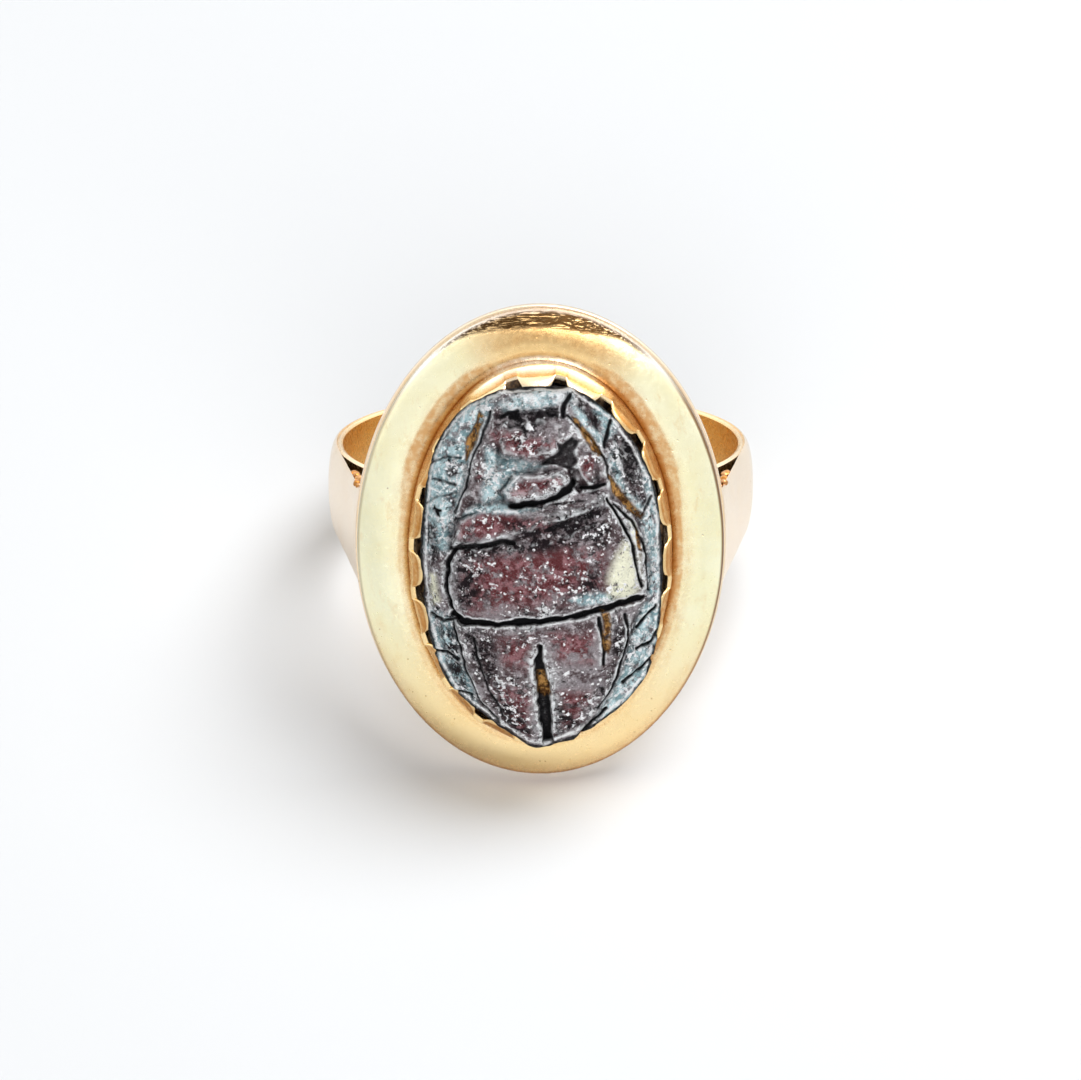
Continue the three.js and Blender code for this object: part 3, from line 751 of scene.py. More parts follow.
# Each raised field: its outline, its rise in mm and the softness of its edge in pixels
FIELDS = {
    "thorax": ([
        (453, 552), (505, 549), (560, 537), (600, 517), (613, 512), (630, 545), (638, 585), (602, 602),
        (560, 611), (520, 616), (458, 613), (449, 588),
    ], 0.16, 7),
    "thorax_brow": ([
        (453, 546), (457, 524), (470, 508), (500, 507), (540, 513), (575, 507), (603, 494), (606, 506),
        (575, 518), (545, 526), (510, 538), (470, 542),
    ], 0.26, 9),
    "thorax_margin": ([
        (611, 502), (628, 518), (641, 542), (646, 588), (640, 590), (636, 560), (626, 530),
    ], 0.1, 5),
    "neck_bar": ([
        (505, 492), (514, 476), (535, 474), (562, 472), (570, 484), (560, 493), (532, 501), (508, 501),
    ], 0.42, 7),
    "head_plate": ([
        (496, 428), (512, 418), (545, 420), (563, 424), (566, 438), (556, 453), (530, 462), (505, 456),
        (495, 444),
    ], 0.34, 10),
    "left_cheek": ([
        (492, 425), (496, 446), (494, 470), (500, 492), (484, 503), (468, 496), (474, 468), (482, 442),
    ], 0.2, 8),
    "right_cheek": ([
        (567, 420), (590, 443), (606, 474), (590, 485), (577, 479), (573, 455), (566, 440),
    ], 0.24, 8),
    "muzzle": ([
        (500, 404), (520, 394), (545, 390), (568, 392), (564, 404), (540, 410), (510, 412),
    ], 0.3, 9),
    "left_wing": ([
        (478, 632), (535, 628), (533, 700), (535, 738), (512, 720), (492, 692), (480, 660),
    ], 0.08, 10),
    "right_wing": ([
        (545, 630), (596, 624), (603, 665), (592, 700), (575, 722), (558, 735), (550, 690),
    ], 0.1, 10),
    "left_callus": ([(432, 560), (445, 562), (445, 600), (436, 606), (429, 585)], 0.18, 6),
    "right_flank_ridge": ([
        (612, 440), (640, 470), (655, 520), (656, 560), (648, 560), (640, 520), (622, 482), (606, 452),
    ], 0.22, 9),
    "left_flank_ridge": ([
        (440, 440), (470, 410), (482, 404), (470, 430), (452, 460), (446, 500), (440, 545), (428, 545),
        (428, 490),
    ], 0.2, 9),
}

# Colour fields: outlines where a finish shows, with a soft edge in pixels
GLAZED = [
    ([
        (500, 392), (470, 404), (444, 428), (430, 462), (423, 500), (422, 552), (447, 552), (456, 515),
        (470, 462), (490, 412),
    ], 5),
    ([(498, 404), (520, 392), (545, 386), (576, 390), (570, 402), (545, 409), (505, 412)], 5),
    ([
        (664, 598), (664, 640), (650, 676), (622, 708), (592, 727), (600, 706), (624, 668), (634, 625),
        (643, 604),
    ], 4),
    ([(426, 605), (450, 616), (458, 652), (474, 690), (478, 706), (448, 684), (432, 650)], 5),
    ([(486, 446), (505, 458), (545, 466), (520, 474), (506, 500), (484, 504)], 5),
    ([(458, 520), (476, 504), (500, 503), (542, 508), (520, 514), (480, 512)], 3),
    ([(568, 598), (590, 591), (608, 594), (612, 601), (580, 604)], 3),
    ([(568, 402), (582, 410), (606, 440), (600, 446), (580, 424)], 4),
    ([(590, 398), (606, 408), (618, 426), (612, 436), (604, 440), (598, 420)], 4),
    ([(640, 452), (654, 490), (660, 540), (661, 600), (648, 598), (648, 560), (640, 520), (646, 500)], 5),
    ([(615, 440), (622, 480), (644, 505), (640, 520), (618, 486), (606, 462)], 4),
]
REDDENED = [
    ([(457, 538), (462, 518), (500, 513), (530, 518), (556, 518), (550, 532), (520, 528), (480, 540)], 4),
    ([(508, 496), (520, 482), (556, 478), (566, 486), (540, 494), (515, 499)], 3),
    ([(576, 462), (592, 456), (598, 470), (586, 478)], 4),
    ([(476, 468), (488, 464), (490, 482), (480, 484)], 4),
    ([(466, 556), (520, 552), (560, 545), (606, 548), (604, 590), (520, 606), (470, 612)], 12),
    ([(500, 640), (530, 634), (530, 668), (505, 664)], 8),
    ([(550, 634), (592, 632), (592, 662), (556, 660)], 8),
    ([(486, 430), (516, 434), (560, 440), (540, 460), (505, 452)], 6),
    ([(560, 690), (592, 690), (575, 722), (562, 725)], 8),
    ([(490, 682), (530, 684), (530, 735), (515, 725)], 8),
]
CREAMY = [
    ([(622, 540), (634, 546), (640, 582), (629, 600), (608, 597), (608, 574)], 6),
    ([(626, 518), (634, 524), (638, 545), (633, 548), (628, 534)], 2),
    ([(430, 572), (436, 572), (440, 600), (433, 604)], 3),
]
# Black stains, with painted shade below the thorax's brow and on the right flank
STAINED_AND_SHADED = [
    ([
        (453, 540), (478, 540), (510, 540), (528, 534), (545, 524), (590, 512), (606, 522), (604, 545),
        (560, 548), (520, 556), (456, 560),
    ], 6),
    ([(455, 560), (474, 560), (482, 585), (476, 606), (456, 604)], 5),
    ([(505, 408), (530, 412), (532, 434), (516, 432), (503, 424)], 4),
    ([(545, 408), (558, 408), (557, 420), (545, 420)], 2),
    ([(492, 414), (540, 408), (548, 420), (538, 434), (512, 432), (494, 426)], 5),
    ([(596, 470), (612, 500), (600, 506), (586, 492), (574, 486), (588, 484)], 4),
    ([(628, 476), (646, 496), (650, 508), (640, 506), (628, 492)], 4),
    ([(500, 520), (560, 512), (606, 500), (612, 520), (606, 548), (588, 540), (545, 534), (520, 544)], 6),
    ([(605, 630), (640, 612), (632, 650), (612, 692), (600, 700), (612, 664)], 7),
    ([(436, 620), (456, 630), (470, 690), (500, 722), (470, 704), (446, 670)], 7),
    ([(486, 690), (520, 704), (533, 738), (508, 728)], 6),
    ([(545, 700), (560, 700), (580, 722), (556, 738)], 5),
    ([(585, 575), (600, 560), (600, 590), (560, 598)], 6),
    ([(573, 394), (592, 398), (602, 418), (598, 432), (586, 418), (576, 408)], 4),
    ([(610, 428), (630, 438), (644, 470), (642, 488), (626, 484), (614, 462)], 4),
    ([(436, 430), (452, 422), (448, 440), (436, 452)], 4),
    ([(446, 470), (464, 462), (462, 474), (448, 480)], 3),
    ([(423, 518), (436, 522), (442, 545), (432, 562), (424, 548)], 5),
    ([(462, 628), (480, 626), (500, 650), (498, 690), (480, 680), (466, 650)], 7),
]
EARTHY = [
    ([(479, 411), (485, 418), (479, 434), (474, 450), (467, 460), (466, 444), (473, 428)], 2.5),
    ([(571, 418), (577, 420), (589, 435), (601, 456), (595, 457), (583, 441)], 2.5),
    ([(606, 473), (613, 478), (626, 496), (643, 514), (640, 519), (626, 509), (614, 492)], 2.5),
    ([(538, 672), (546, 672), (551, 692), (544, 696), (537, 690)], 2),
    ([(601, 611), (609, 612), (611, 634), (607, 654), (604, 650), (603, 632)], 3),
    ([(633, 528), (637, 532), (641, 552), (636, 550)], 1.5),
]
EARTH_CUT_DEPTH = 0.16

# The finishes that are painted as fields; the stained fields hold painted shade too
PAINTED = {"glaze": GLAZED, "red": REDDENED, "cream": CREAMY, "stained_and_shaded": STAINED_AND_SHADED, "residue": EARTHY}

# How the carved lines stray: how far in pixels, in lumps of how many mm, and from which two draws
WAVERS = ((1.7, 0.8, (11, 12)), (1.1, 0.3, (13, 14)))
# The stone's own border strays less, by this share
BORDER_WAVER = 0.6
# A cut's walls, and where its painted shade lies, from outside to inside in half widths
CUT_WALL = (1.5, 0.3)
CUT_SHADE = (1.15, 0.55)
# A hollow's walls, and where its painted shade lies, in pixels outside its outline, which strays this far in
# pixels
HOLLOW_WALL = (1.2, -2.4)
HOLLOW_SHADE = (0.4, -1.0)
HOLLOW_WAVER = 1.2
# A rim's painted highlight: how pale and how wide in pixels, and how far it lies from a cut's middle in half
# widths and from a hollow's outline in pixels
RIM_PALE = 0.95
RIM_WIDTH = (1.1, 0.3)
CUT_RIM = 1.4
HOLLOW_RIM = 1.3
# The painted shade at the stone's border, and the painted highlight inside it, in pixels from the border
BORDER_DARK = 0.85
BORDER_LINE = ((1.3, 0.2), (-10.0, -6.0))
BORDER_BAND = ((1.6, 2.4), (5.0, 3.6))


def carve(pixels, points):
    """How far each point is raised or cut, in mm, and its share of every finish and of the painted shade and
    highlights.
    """
    count = len(pixels)
    waver = np.zeros((count, 2))
    for reach, size, seeds in WAVERS:
        waver += reach * np.stack([lumps(points, size, seed) for seed in seeds], axis=1)
    border = -to_polygon(pixels + BORDER_WAVER * waver, STONE_OUTLINE)
    pixels = pixels + waver
    rise, dark, edge = np.zeros(count), np.zeros(count), np.zeros(count)

    def paint_rim(gap):
        """Adds a painted highlight along a rim where the gap in pixels is small."""
        np.maximum(edge, RIM_PALE * smoothstep(*RIM_WIDTH, np.abs(gap)), out=edge)

    for outline in BLOCKS:
        away = to_polygon(pixels, outline)
        rise = np.maximum(rise, BLOCK_RISE * smoothstep(BLOCK_SOFTNESS / 2, -BLOCK_SOFTNESS / 2, away))
    for outline, height, soft in FIELDS.values():
        away = to_polygon(pixels, outline)
        rise += height * smoothstep(soft / 2, -soft / 2, away)
    # A cut's half width is uneven: up to a half wider and up to a quarter narrower
    uneven = np.clip(0.32 * lumps(points, 0.35, 21) + 0.3 * lumps(points, 0.9, 22), -0.5, 0.25)
    # Each cut is lowered and darkened with painted shade; some get a painted highlight on their rims
    for name, (line, half, depth, painted_shade) in CUTS.items():
        away = to_polyline(pixels, line) + half * uneven
        rise -= depth * smoothstep(half * CUT_WALL[0], half * CUT_WALL[1], away)
        dark = np.maximum(dark, painted_shade * smoothstep(half * CUT_SHADE[0], half * CUT_SHADE[1], away))
        if name in HIGHLIGHTED_EDGES:
            paint_rim(away - half * CUT_RIM)
    # Each hollow is lowered and darkened with painted shade in the same way
    for name, (outline, depth, painted_shade) in HOLLOWS.items():
        away = to_polygon(pixels, outline) + HOLLOW_WAVER * lumps(points, 0.3, 23)
        rise -= depth * smoothstep(*HOLLOW_WALL, away)
        dark = np.maximum(dark, painted_shade * smoothstep(*HOLLOW_SHADE, away))
        if name in HIGHLIGHTED_EDGES:
            paint_rim(away - HOLLOW_RIM)
    # Painted shade where the stone dips under the collar, and a painted highlight just inside that
    line = BORDER_DARK * smoothstep(*BORDER_LINE[0], border) * smoothstep(*BORDER_LINE[1], border)
    band = RIM_PALE * smoothstep(*BORDER_BAND[0], border) * smoothstep(*BORDER_BAND[1], border)
    edge = np.maximum(edge, band)
    dark = np.maximum(dark, line)
    share = {"dark": dark, "edge": edge * (1 - dark)}
    for name, fields in PAINTED.items():
        total = np.zeros(count)
        for outline, soft in fields:
            total = np.maximum(total, smoothstep(soft, -soft, to_polygon(pixels, outline)))
        share[name] = total
    rise -= EARTH_CUT_DEPTH * smoothstep(0.1, 0.9, share["residue"])
    share["residue"] = share["residue"] * smoothstep(0.1, 0.6, share["residue"])
    return rise, share


class RING_OT_scarab(bpy.types.Operator):
    """Model the carved scarab from a grid that is bent into a domed stone"""

    bl_idname = "ring.scarab"
    bl_label = "Scarab"

    # Where the dome, the rolled belly and the waist end, as shares of the way from the crown to the
    # edge of the seal face
    SHOULDER_REACH = 0.86
    BELLY_REACH = 0.92
    WAIST_REACH = 0.965
    # The shares over which the carving, the coarse roughness and the finishes fade out
    CARVING_FADE = (0.94, 0.9)
    COARSE_FADE = (0.96, 0.9)
    FINISH_FADE = (0.95, 0.92)
    # Heights over the finger hole's centre and lengths on the stone, in mm
    EDGE_HEIGHT = 12.75
    TAIL_LIFT = 0.22
    CROWN_HEIGHT = 14.85
    HEAD_FALL = 0.85
    TAIL_FALL = 0.5
    SHOULDER_ROLL = 0.45
    WAIST_HEIGHT = 11.9
    WAIST_INSET = 0.42
    PLINTH_INSET = 0.12
    PLINTH_HEIGHT = 1.25
    # The stone's half width at the shoulder and how much the belly adds, as shares of the outline's
    SHOULDER_WIDTH = 0.93
    BELLY_BULGE = 0.07
    # The outline is read at this many angles and smoothed over this many to each side
    OUTLINE_ANGLES = 720
    OUTLINE_SMOOTH = 12
    # Coarse and fine roughness: height and size of the lumps in mm
    COARSE = (0.12, 1.0)
    FINE = (0.075, 0.42)
    # How far the carving is cut straight down instead of square to the surface, as a share
    CARVED_UPRIGHT = 0.7
    # How wide a stretch of the surface small and large ridges and valleys are told from, in grid rows, for
    # the painted highlights and shade
    NEAR_SPREAD, FAR_SPREAD = 5, 16

    def execute(self, context):
        sizes = context.scene.ring_scarab
        rows, columns = sizes.rows, sizes.columns
        start()
        bpy.ops.mesh.primitive_grid_add(x_subdivisions=columns, y_subdivisions=rows, size=2)
        stone = context.object
        stone.name = "carved_scarab"
        square = points_of(stone.data)[:, :2]
        u, v = square.T
        disc = np.stack([u * np.sqrt(1 - v**2 / 2), v * np.sqrt(1 - u**2 / 2)], axis=1)
        reach = np.clip(np.linalg.norm(disc, axis=1), 0, 1)
        angle = np.arctan2(disc[:, 1], disc[:, 0])
        points = self.body(reach, angle)
        normals = self.normals(points.reshape(rows + 1, columns + 1, 3)).reshape(-1, 3)
        rise, share = carve(photo_pixels(points), points)
        top = smoothstep(*self.CARVING_FADE, reach)
        coarse = self.COARSE[0] * roughness_of(points, self.COARSE[1], 41)
        rise = rise * top + coarse * smoothstep(*self.COARSE_FADE, reach)
        rise = rise + self.FINE[0] * roughness_of(points, self.FINE[1], 51) * top
        grid = rise.reshape(rows + 1, columns + 1)
        near, far = self.relief(grid, self.NEAR_SPREAD), self.relief(grid, self.FAR_SPREAD)
        # Painted highlights on the relief's ridges, fainter near the tail's edge, and painted shade in its
        # valleys
        share["ridge_highlight"] = np.maximum(smoothstep(0.012, 0.075, near), 0.3 * smoothstep(0.05, 0.16, far))
        share["ridge_highlight"] *= 1 - 0.6 * smoothstep(0.8, 0.88, reach) * smoothstep(-5.0, -6.5, points[:, 1])
        share["valley_shade"] = np.maximum(smoothstep(-0.012, -0.08, near), 0.65 * smoothstep(-0.03, -0.14, far))
        # Straight down means along the line of sight, so that no cut hides behind its own rim
        carved = self.CARVED_UPRIGHT * top[:, None]
        direction = normals * (1 - carved) + np.array(CAMERA_SIGHT) * carved
        direction /= np.linalg.norm(direction, axis=1, keepdims=True)
        move_points(stone, points + direction * rise[:, None])
        for name, values in share.items():
            write_attribute(stone, name, values * smoothstep(*self.FINISH_FADE, reach))
        self.close_below(stone)
        settle(stone, "scarab", glazed_stone("glazed_steatite", sizes))
        return {"FINISHED"}

    def body(self, reach, angle):
        """The uncarved stone: a low dome, a rolled shoulder, a drawn-in waist and a plinth below."""
        outline = at_photo(STONE_OUTLINE, self.EDGE_HEIGHT)[:, :2]
        centre = np.array([0.0, (outline[:, 1].min() + outline[:, 1].max()) / 2])
        around = np.arctan2(*(outline - centre).T[::-1])
        radius = np.linalg.norm(outline - centre, axis=1)
        order = np.argsort(around)
        angles = np.linspace(-math.pi, math.pi, self.OUTLINE_ANGLES + 1)[:-1]
        ring = np.interp(angles, around[order], radius[order], period=2 * math.pi)
        ends = self.OUTLINE_SMOOTH
        kernel = np.hanning(2 * ends + 1)
        ring = np.convolve(np.concatenate([ring[-ends:], ring, ring[:ends]]), kernel / kernel.sum(), "valid")
        upper = np.interp(angle, angles, ring, period=2 * math.pi)
        outward = np.column_stack([np.cos(angle), np.sin(angle)])
        middle = (STONE_LOW[:2] + STONE_HIGH[:2]) / 2
        half = (STONE_HIGH[:2] - STONE_LOW[:2]) / 2
        plinth = middle + (half - self.PLINTH_INSET) * outward
        waist = middle + (half - self.WAIST_INSET) * outward

        # The dome and the belly that rolls over below it
        top = np.clip(reach / self.SHOULDER_REACH, 0, 1)
        turn = np.clip((reach - self.SHOULDER_REACH) / (self.BELLY_REACH - self.SHOULDER_REACH), 0, 1)
        belly = self.SHOULDER_WIDTH + self.BELLY_BULGE * np.sin(turn * math.pi / 2)
        wide = np.where(turn > 0, belly, self.SHOULDER_WIDTH * top)
        plan = centre + (wide * upper)[:, None] * outward
        edge = self.EDGE_HEIGHT + self.TAIL_LIFT * smoothstep(-6.3, -8.0, plan[:, 1])
        shoulder = edge + self.SHOULDER_ROLL
        head_fall = self.HEAD_FALL * smoothstep(1.5, 7.0, plan[:, 1])
        tail_fall = self.TAIL_FALL * smoothstep(-3.5, -7.7, plan[:, 1])
        dome = self.CROWN_HEIGHT - head_fall - tail_fall
        height = shoulder + (dome - shoulder) * (1 - top**2.8) ** 0.8
        roll = self.SHOULDER_ROLL * (1 - np.cos(turn * math.pi / 2))
        height = np.where(turn > 0, shoulder - roll, height)

        # The way in to the waist, and down past it to the plinth
        tuck = np.clip((reach - self.BELLY_REACH) / (self.WAIST_REACH - self.BELLY_REACH), 0, 1)
        drop = np.clip((reach - self.WAIST_REACH) / (1 - self.WAIST_REACH), 0, 1)
        plan = plan + smoothstep(0, 1, tuck)[:, None] * (waist - plan)
        plan = plan + smoothstep(0.3, 0.55, drop)[:, None] * (plinth - plan)
        height = height + tuck * (self.WAIST_HEIGHT - edge)
        foot = STONE_LOW[2] + self.PLINTH_HEIGHT
        height = height + np.clip(drop / 0.5, 0, 1) * (foot - self.WAIST_HEIGHT)
        height = height + np.clip(drop / 0.5 - 1, 0, 1) * (STONE_LOW[2] - foot)
        return np.column_stack([plan, height])

    def normals(self, grid):
        """Outward directions on the grid, from its neighbours."""
        along = np.gradient(grid, axis=0)
        across = np.gradient(grid, axis=1)
        direction = np.cross(across, along)
        return direction / np.maximum(np.linalg.norm(direction, axis=2, keepdims=True), 1e-9)

    def relief(self, rise, spread):
        """How far each point stands over the smoothed surface round it, in mm."""
        smooth = rise
        weights = np.hanning(2 * spread + 3)[1:-1]
        weights = weights / weights.sum()
        for axis in (0, 1):
            shifted = [np.roll(smooth, shift, axis=axis) for shift in range(-spread, spread + 1)]
            smooth = sum(weight * moved for weight, moved in zip(weights, shifted))
        return (rise - smooth).ravel()

    def close_below(self, stone):
        """Fills the open edge round the seal face."""
        bpy.context.view_layer.objects.active = stone
        bpy.ops.object.mode_set(mode="EDIT")
        bpy.ops.mesh.select_mode(type="EDGE")
        bpy.ops.mesh.select_all(action="DESELECT")
        bpy.ops.mesh.select_non_manifold(extend=False)
        bpy.ops.mesh.edge_face_add()
        bpy.ops.object.mode_set(mode="OBJECT")


class RING_OT_cement(bpy.types.Operator):
    """Model the cement that shows between the stone and the collar"""

    bl_idname = "ring.cement"
    bl_label = "Cement bed"

    AROUND, ACROSS = 420, 40
    # Where the cement stands high, as (angle round the bezel in degrees, half spread, height in mm)
    HEAPS = [
        (104, 15, 1.3), (62, 7, 1.0), (52, 4, 0.9), (33, 6, 1.0), (20, 5, 0.7), (8, 4, 0.6), (-4, 5, 0.95),
    ]
    # In mm: how far its top lies below the solid's, its wall's and its floor's thickness, and how far
    # in its floor reaches
    TOP_DROP = 0.75
    WALL = 0.62
    FLOOR = 0.2
    FLOOR_WIDTH = 4.2

    def execute(self, context):
        outer = np.array([BED_HIGH[0], BED_HIGH[1]])
        low, top = BED_LOW[2], BED_HIGH[2] - self.TOP_DROP
        floor = low + self.FLOOR
        wall, wide = self.WALL, self.FLOOR_WIDTH
        corners = [(0.02, low), (0.02, top), (wall, top), (wall, floor), (wide, floor), (wide, low)]
        section = rounded_section(corners, 0.1, self.ACROSS)

        def place(angle, corner):
            inset, height = section[corner].T
            away = np.degrees(angle)
            heap = np.zeros(len(angle))
            for middle, spread, rise in self.HEAPS:
                gap = np.abs((away - middle + 180) % 360 - 180)
                heap = np.maximum(heap, rise * smoothstep(spread, spread * 0.3, gap))
            lift = smoothstep(low + 0.9, top, height)
            x = (outer[0] - inset) * np.cos(angle)
            y = (outer[1] - inset) * np.sin(angle)
            points = np.column_stack([x, y, height + heap * lift])
            points[:, 2] += lift * 0.13 * roughness_of(points, 0.5, 71)
            return points, {}

        bed = new_ring("mastic_bed", self.AROUND, self.ACROSS, place)
        settle(bed, "cement_bed", mastic("old_mastic"))
        return {"FINISHED"}


class RING_OT_collar(bpy.types.Operator):
    """Model the scalloped collar: a thin strip whose top edge is cut into petals that lean inwards"""

    bl_idname = "ring.collar"
    bl_label = "Scalloped collar"

    AROUND, ACROSS = 1200, 34
    # A petal's outline: how square its shoulders are, and the share of its pitch that the notch takes
    SQUARENESS = 2.8
    NOTCH_SHARE = 0.24
    # The oval's length is added up over this many steps
    LENGTH_STEPS = 7200
    # How high the strip still stands over the bend in a notch, in mm
    NOTCH_RISE = 0.03
    # How far the petals on the left are shifted along the strip, in petals
    SHIFT = -0.2
    # Where the wall bows inwards, as shares of its height
    BOW_SHARES = (0.6, 1.0)
    # At the head end the wall is drawn in over a rounded shoulder, by this many mm
    HEAD_SHOULDER = 0.24
    SHOULDER_SHARES = (0.8, 0.95)
    # The gold's deeper patches, and its roughness
    DEEP_GOLD = (0.80, 0.56, 0.27)
    ROUGHNESS = 0.2

    def execute(self, context):
        sizes = context.scene.ring_setting
        foot = np.array([COLLAR_HIGH[0], COLLAR_HIGH[1]])
        bottom = COLLAR_LOW[2]
        lobe_height, lobe_lean = in_mm(sizes, "lobe_height", "lobe_lean")
        wall, flare = in_mm(sizes, "collar_wall", "collar_flare")
        bend = COLLAR_HIGH[2] - lobe_height
        turns = np.linspace(0, 2 * math.pi, self.LENGTH_STEPS + 1)
        run = np.hypot(np.diff(foot[0] * np.cos(turns)), np.diff(foot[1] * np.sin(turns)))
        length = np.concatenate([[0], np.cumsum(run)])
        corners = [(0, 0), (0, 1), (0, 2), (wall, 2), (wall, 1), (wall, 0)]
        section = rounded_section(corners, 0.05, self.ACROSS)

        def place(angle, corner):
            # The petals are spaced by length along the strip, not by angle round the oval
            part = angle / (2 * math.pi)
            turn = np.interp(part * length[-1], length, turns)
            around = np.column_stack([3 * np.cos(angle), 3 * np.sin(angle), 0 * angle])
            shift = self.SHIFT * (1 - np.cos(angle)) / 2 + 0.05 * lumps(around, 0.8, 5)
            lobe = (part * sizes.lobes + 0.5 + shift) % 1
            across = np.clip(np.abs(2 * lobe - 1) / (1 - self.NOTCH_SHARE), 0, 1)
            petal = (1 - across**self.SQUARENESS) ** (1 / 1.6)
            uneven = 1 + 0.10 * lumps(around, 0.5, 6)
            inset, level = section[corner].T
            rise = self.NOTCH_RISE + (lobe_height - self.NOTCH_RISE) * petal * uneven
            folded = np.clip(level - 1, 0, 1)
            height = np.where(level <= 1, bottom + (bend - bottom) * level, bend + rise * folded)
            # The wall bows inwards below the bend, which is a faint crease
            bow = smoothstep(self.BOW_SHARES[0], self.BOW_SHARES[1], np.clip(level, 0, 1))
            bow = flare * bow * (0.15 + 0.85 * petal)
            shoulder = smoothstep(self.SHOULDER_SHARES[0], self.SHOULDER_SHARES[1], np.clip(level, 0, 1))
            bow = bow + self.HEAD_SHOULDER * smoothstep(0.72, 0.97, np.sin(turn)) * shoulder
            right = smoothstep(-0.2, 0.7, np.cos(turn))
            head = smoothstep(0.8, 0.96, np.sin(turn))
            lean = lobe_lean * (1 - 0.45 * right) * (0.25 + 0.75 * petal) * folded**1.15
            cupped = 0.07 * petal * np.sin(folded * math.pi)
            inward = inset + bow + lean - cupped
            outward = np.column_stack([np.cos(turn), np.sin(turn), 0 * turn])
            points = (foot[0] - inward)[:, None] * outward
            points[:, 1] = (foot[1] - inward) * np.sin(turn)
            points[:, 2] = height
            points += 0.02 * roughness_of(points, 1.1, 31)[:, None] * outward
            return points, self.marks(level, folded, petal, right, head)

        collar = new_ring("coronet_collar", self.AROUND, self.ACROSS, place)
        material = gold("collar_gold", context.scene.ring_gold.orange, self.DEEP_GOLD, self.ROUGHNESS)
        settle(collar, "scalloped_collar", material)
        return {"FINISHED"}

    def marks(self, level, folded, petal, right, head):
        """Orange patina with painted reflection in the petals, on the crease and on the wall, dirt with
        painted shade on a fold near the petal tips, and painted highlights at the head end.
        """
        panel = smoothstep(0.12, 0.4, folded) * smoothstep(0.98, 0.8, folded) * smoothstep(0.1, 0.6, petal)
        panel = panel * (1 - 0.7 * head)
        crease = smoothstep(0.14, 0.02, np.abs(level - 1.02)) * (0.75 - 0.3 * head)
        wall = smoothstep(0.5, 0.6, level) * smoothstep(1.02, 0.96, level) * (0.3 + 0.5 * right)
        line = head * smoothstep(0.93, 0.95, level) * smoothstep(1.03, 0.99, level)
        patina_and_reflection = np.maximum(np.maximum(panel, crease), np.maximum(wall * (1 - head), 0.9 * line))
        fold = smoothstep(0.74, 0.82, folded) * smoothstep(0.94, 0.88, folded)
        fold = 0.5 * fold * smoothstep(0.2, 0.7, petal) * (1 - head)
        painted_highlight = head * smoothstep(0.5, 0.56, level) * smoothstep(0.94, 0.91, level)
        painted_highlight = np.maximum(painted_highlight, 0.35 * head * smoothstep(1.0, 1.04, level))
        return {"patina_and_reflection": patina_and_reflection, "painted_highlight": painted_highlight, "groove_dirt_and_shade": fold}


# The frame's face, from its outer foot over the crest to its inner foot. The first share runs
# outwards over the band, the second upwards to the crest.
FACE_SHARES = [
    (1.0, 0.0), (1.0, 0.2), (0.998, 0.33), (0.985, 0.39), (0.955, 0.44), (0.88, 0.545), (0.78, 0.66),
    (0.66, 0.775), (0.54, 0.865), (0.42, 0.93), (0.3, 0.975), (0.2, 0.998), (0.15, 1.0), (0.1, 0.99),
    (0.06, 0.97), (0.03, 0.95), (0.01, 0.93), (0.0, 0.905), (0.0, 0.0),
]


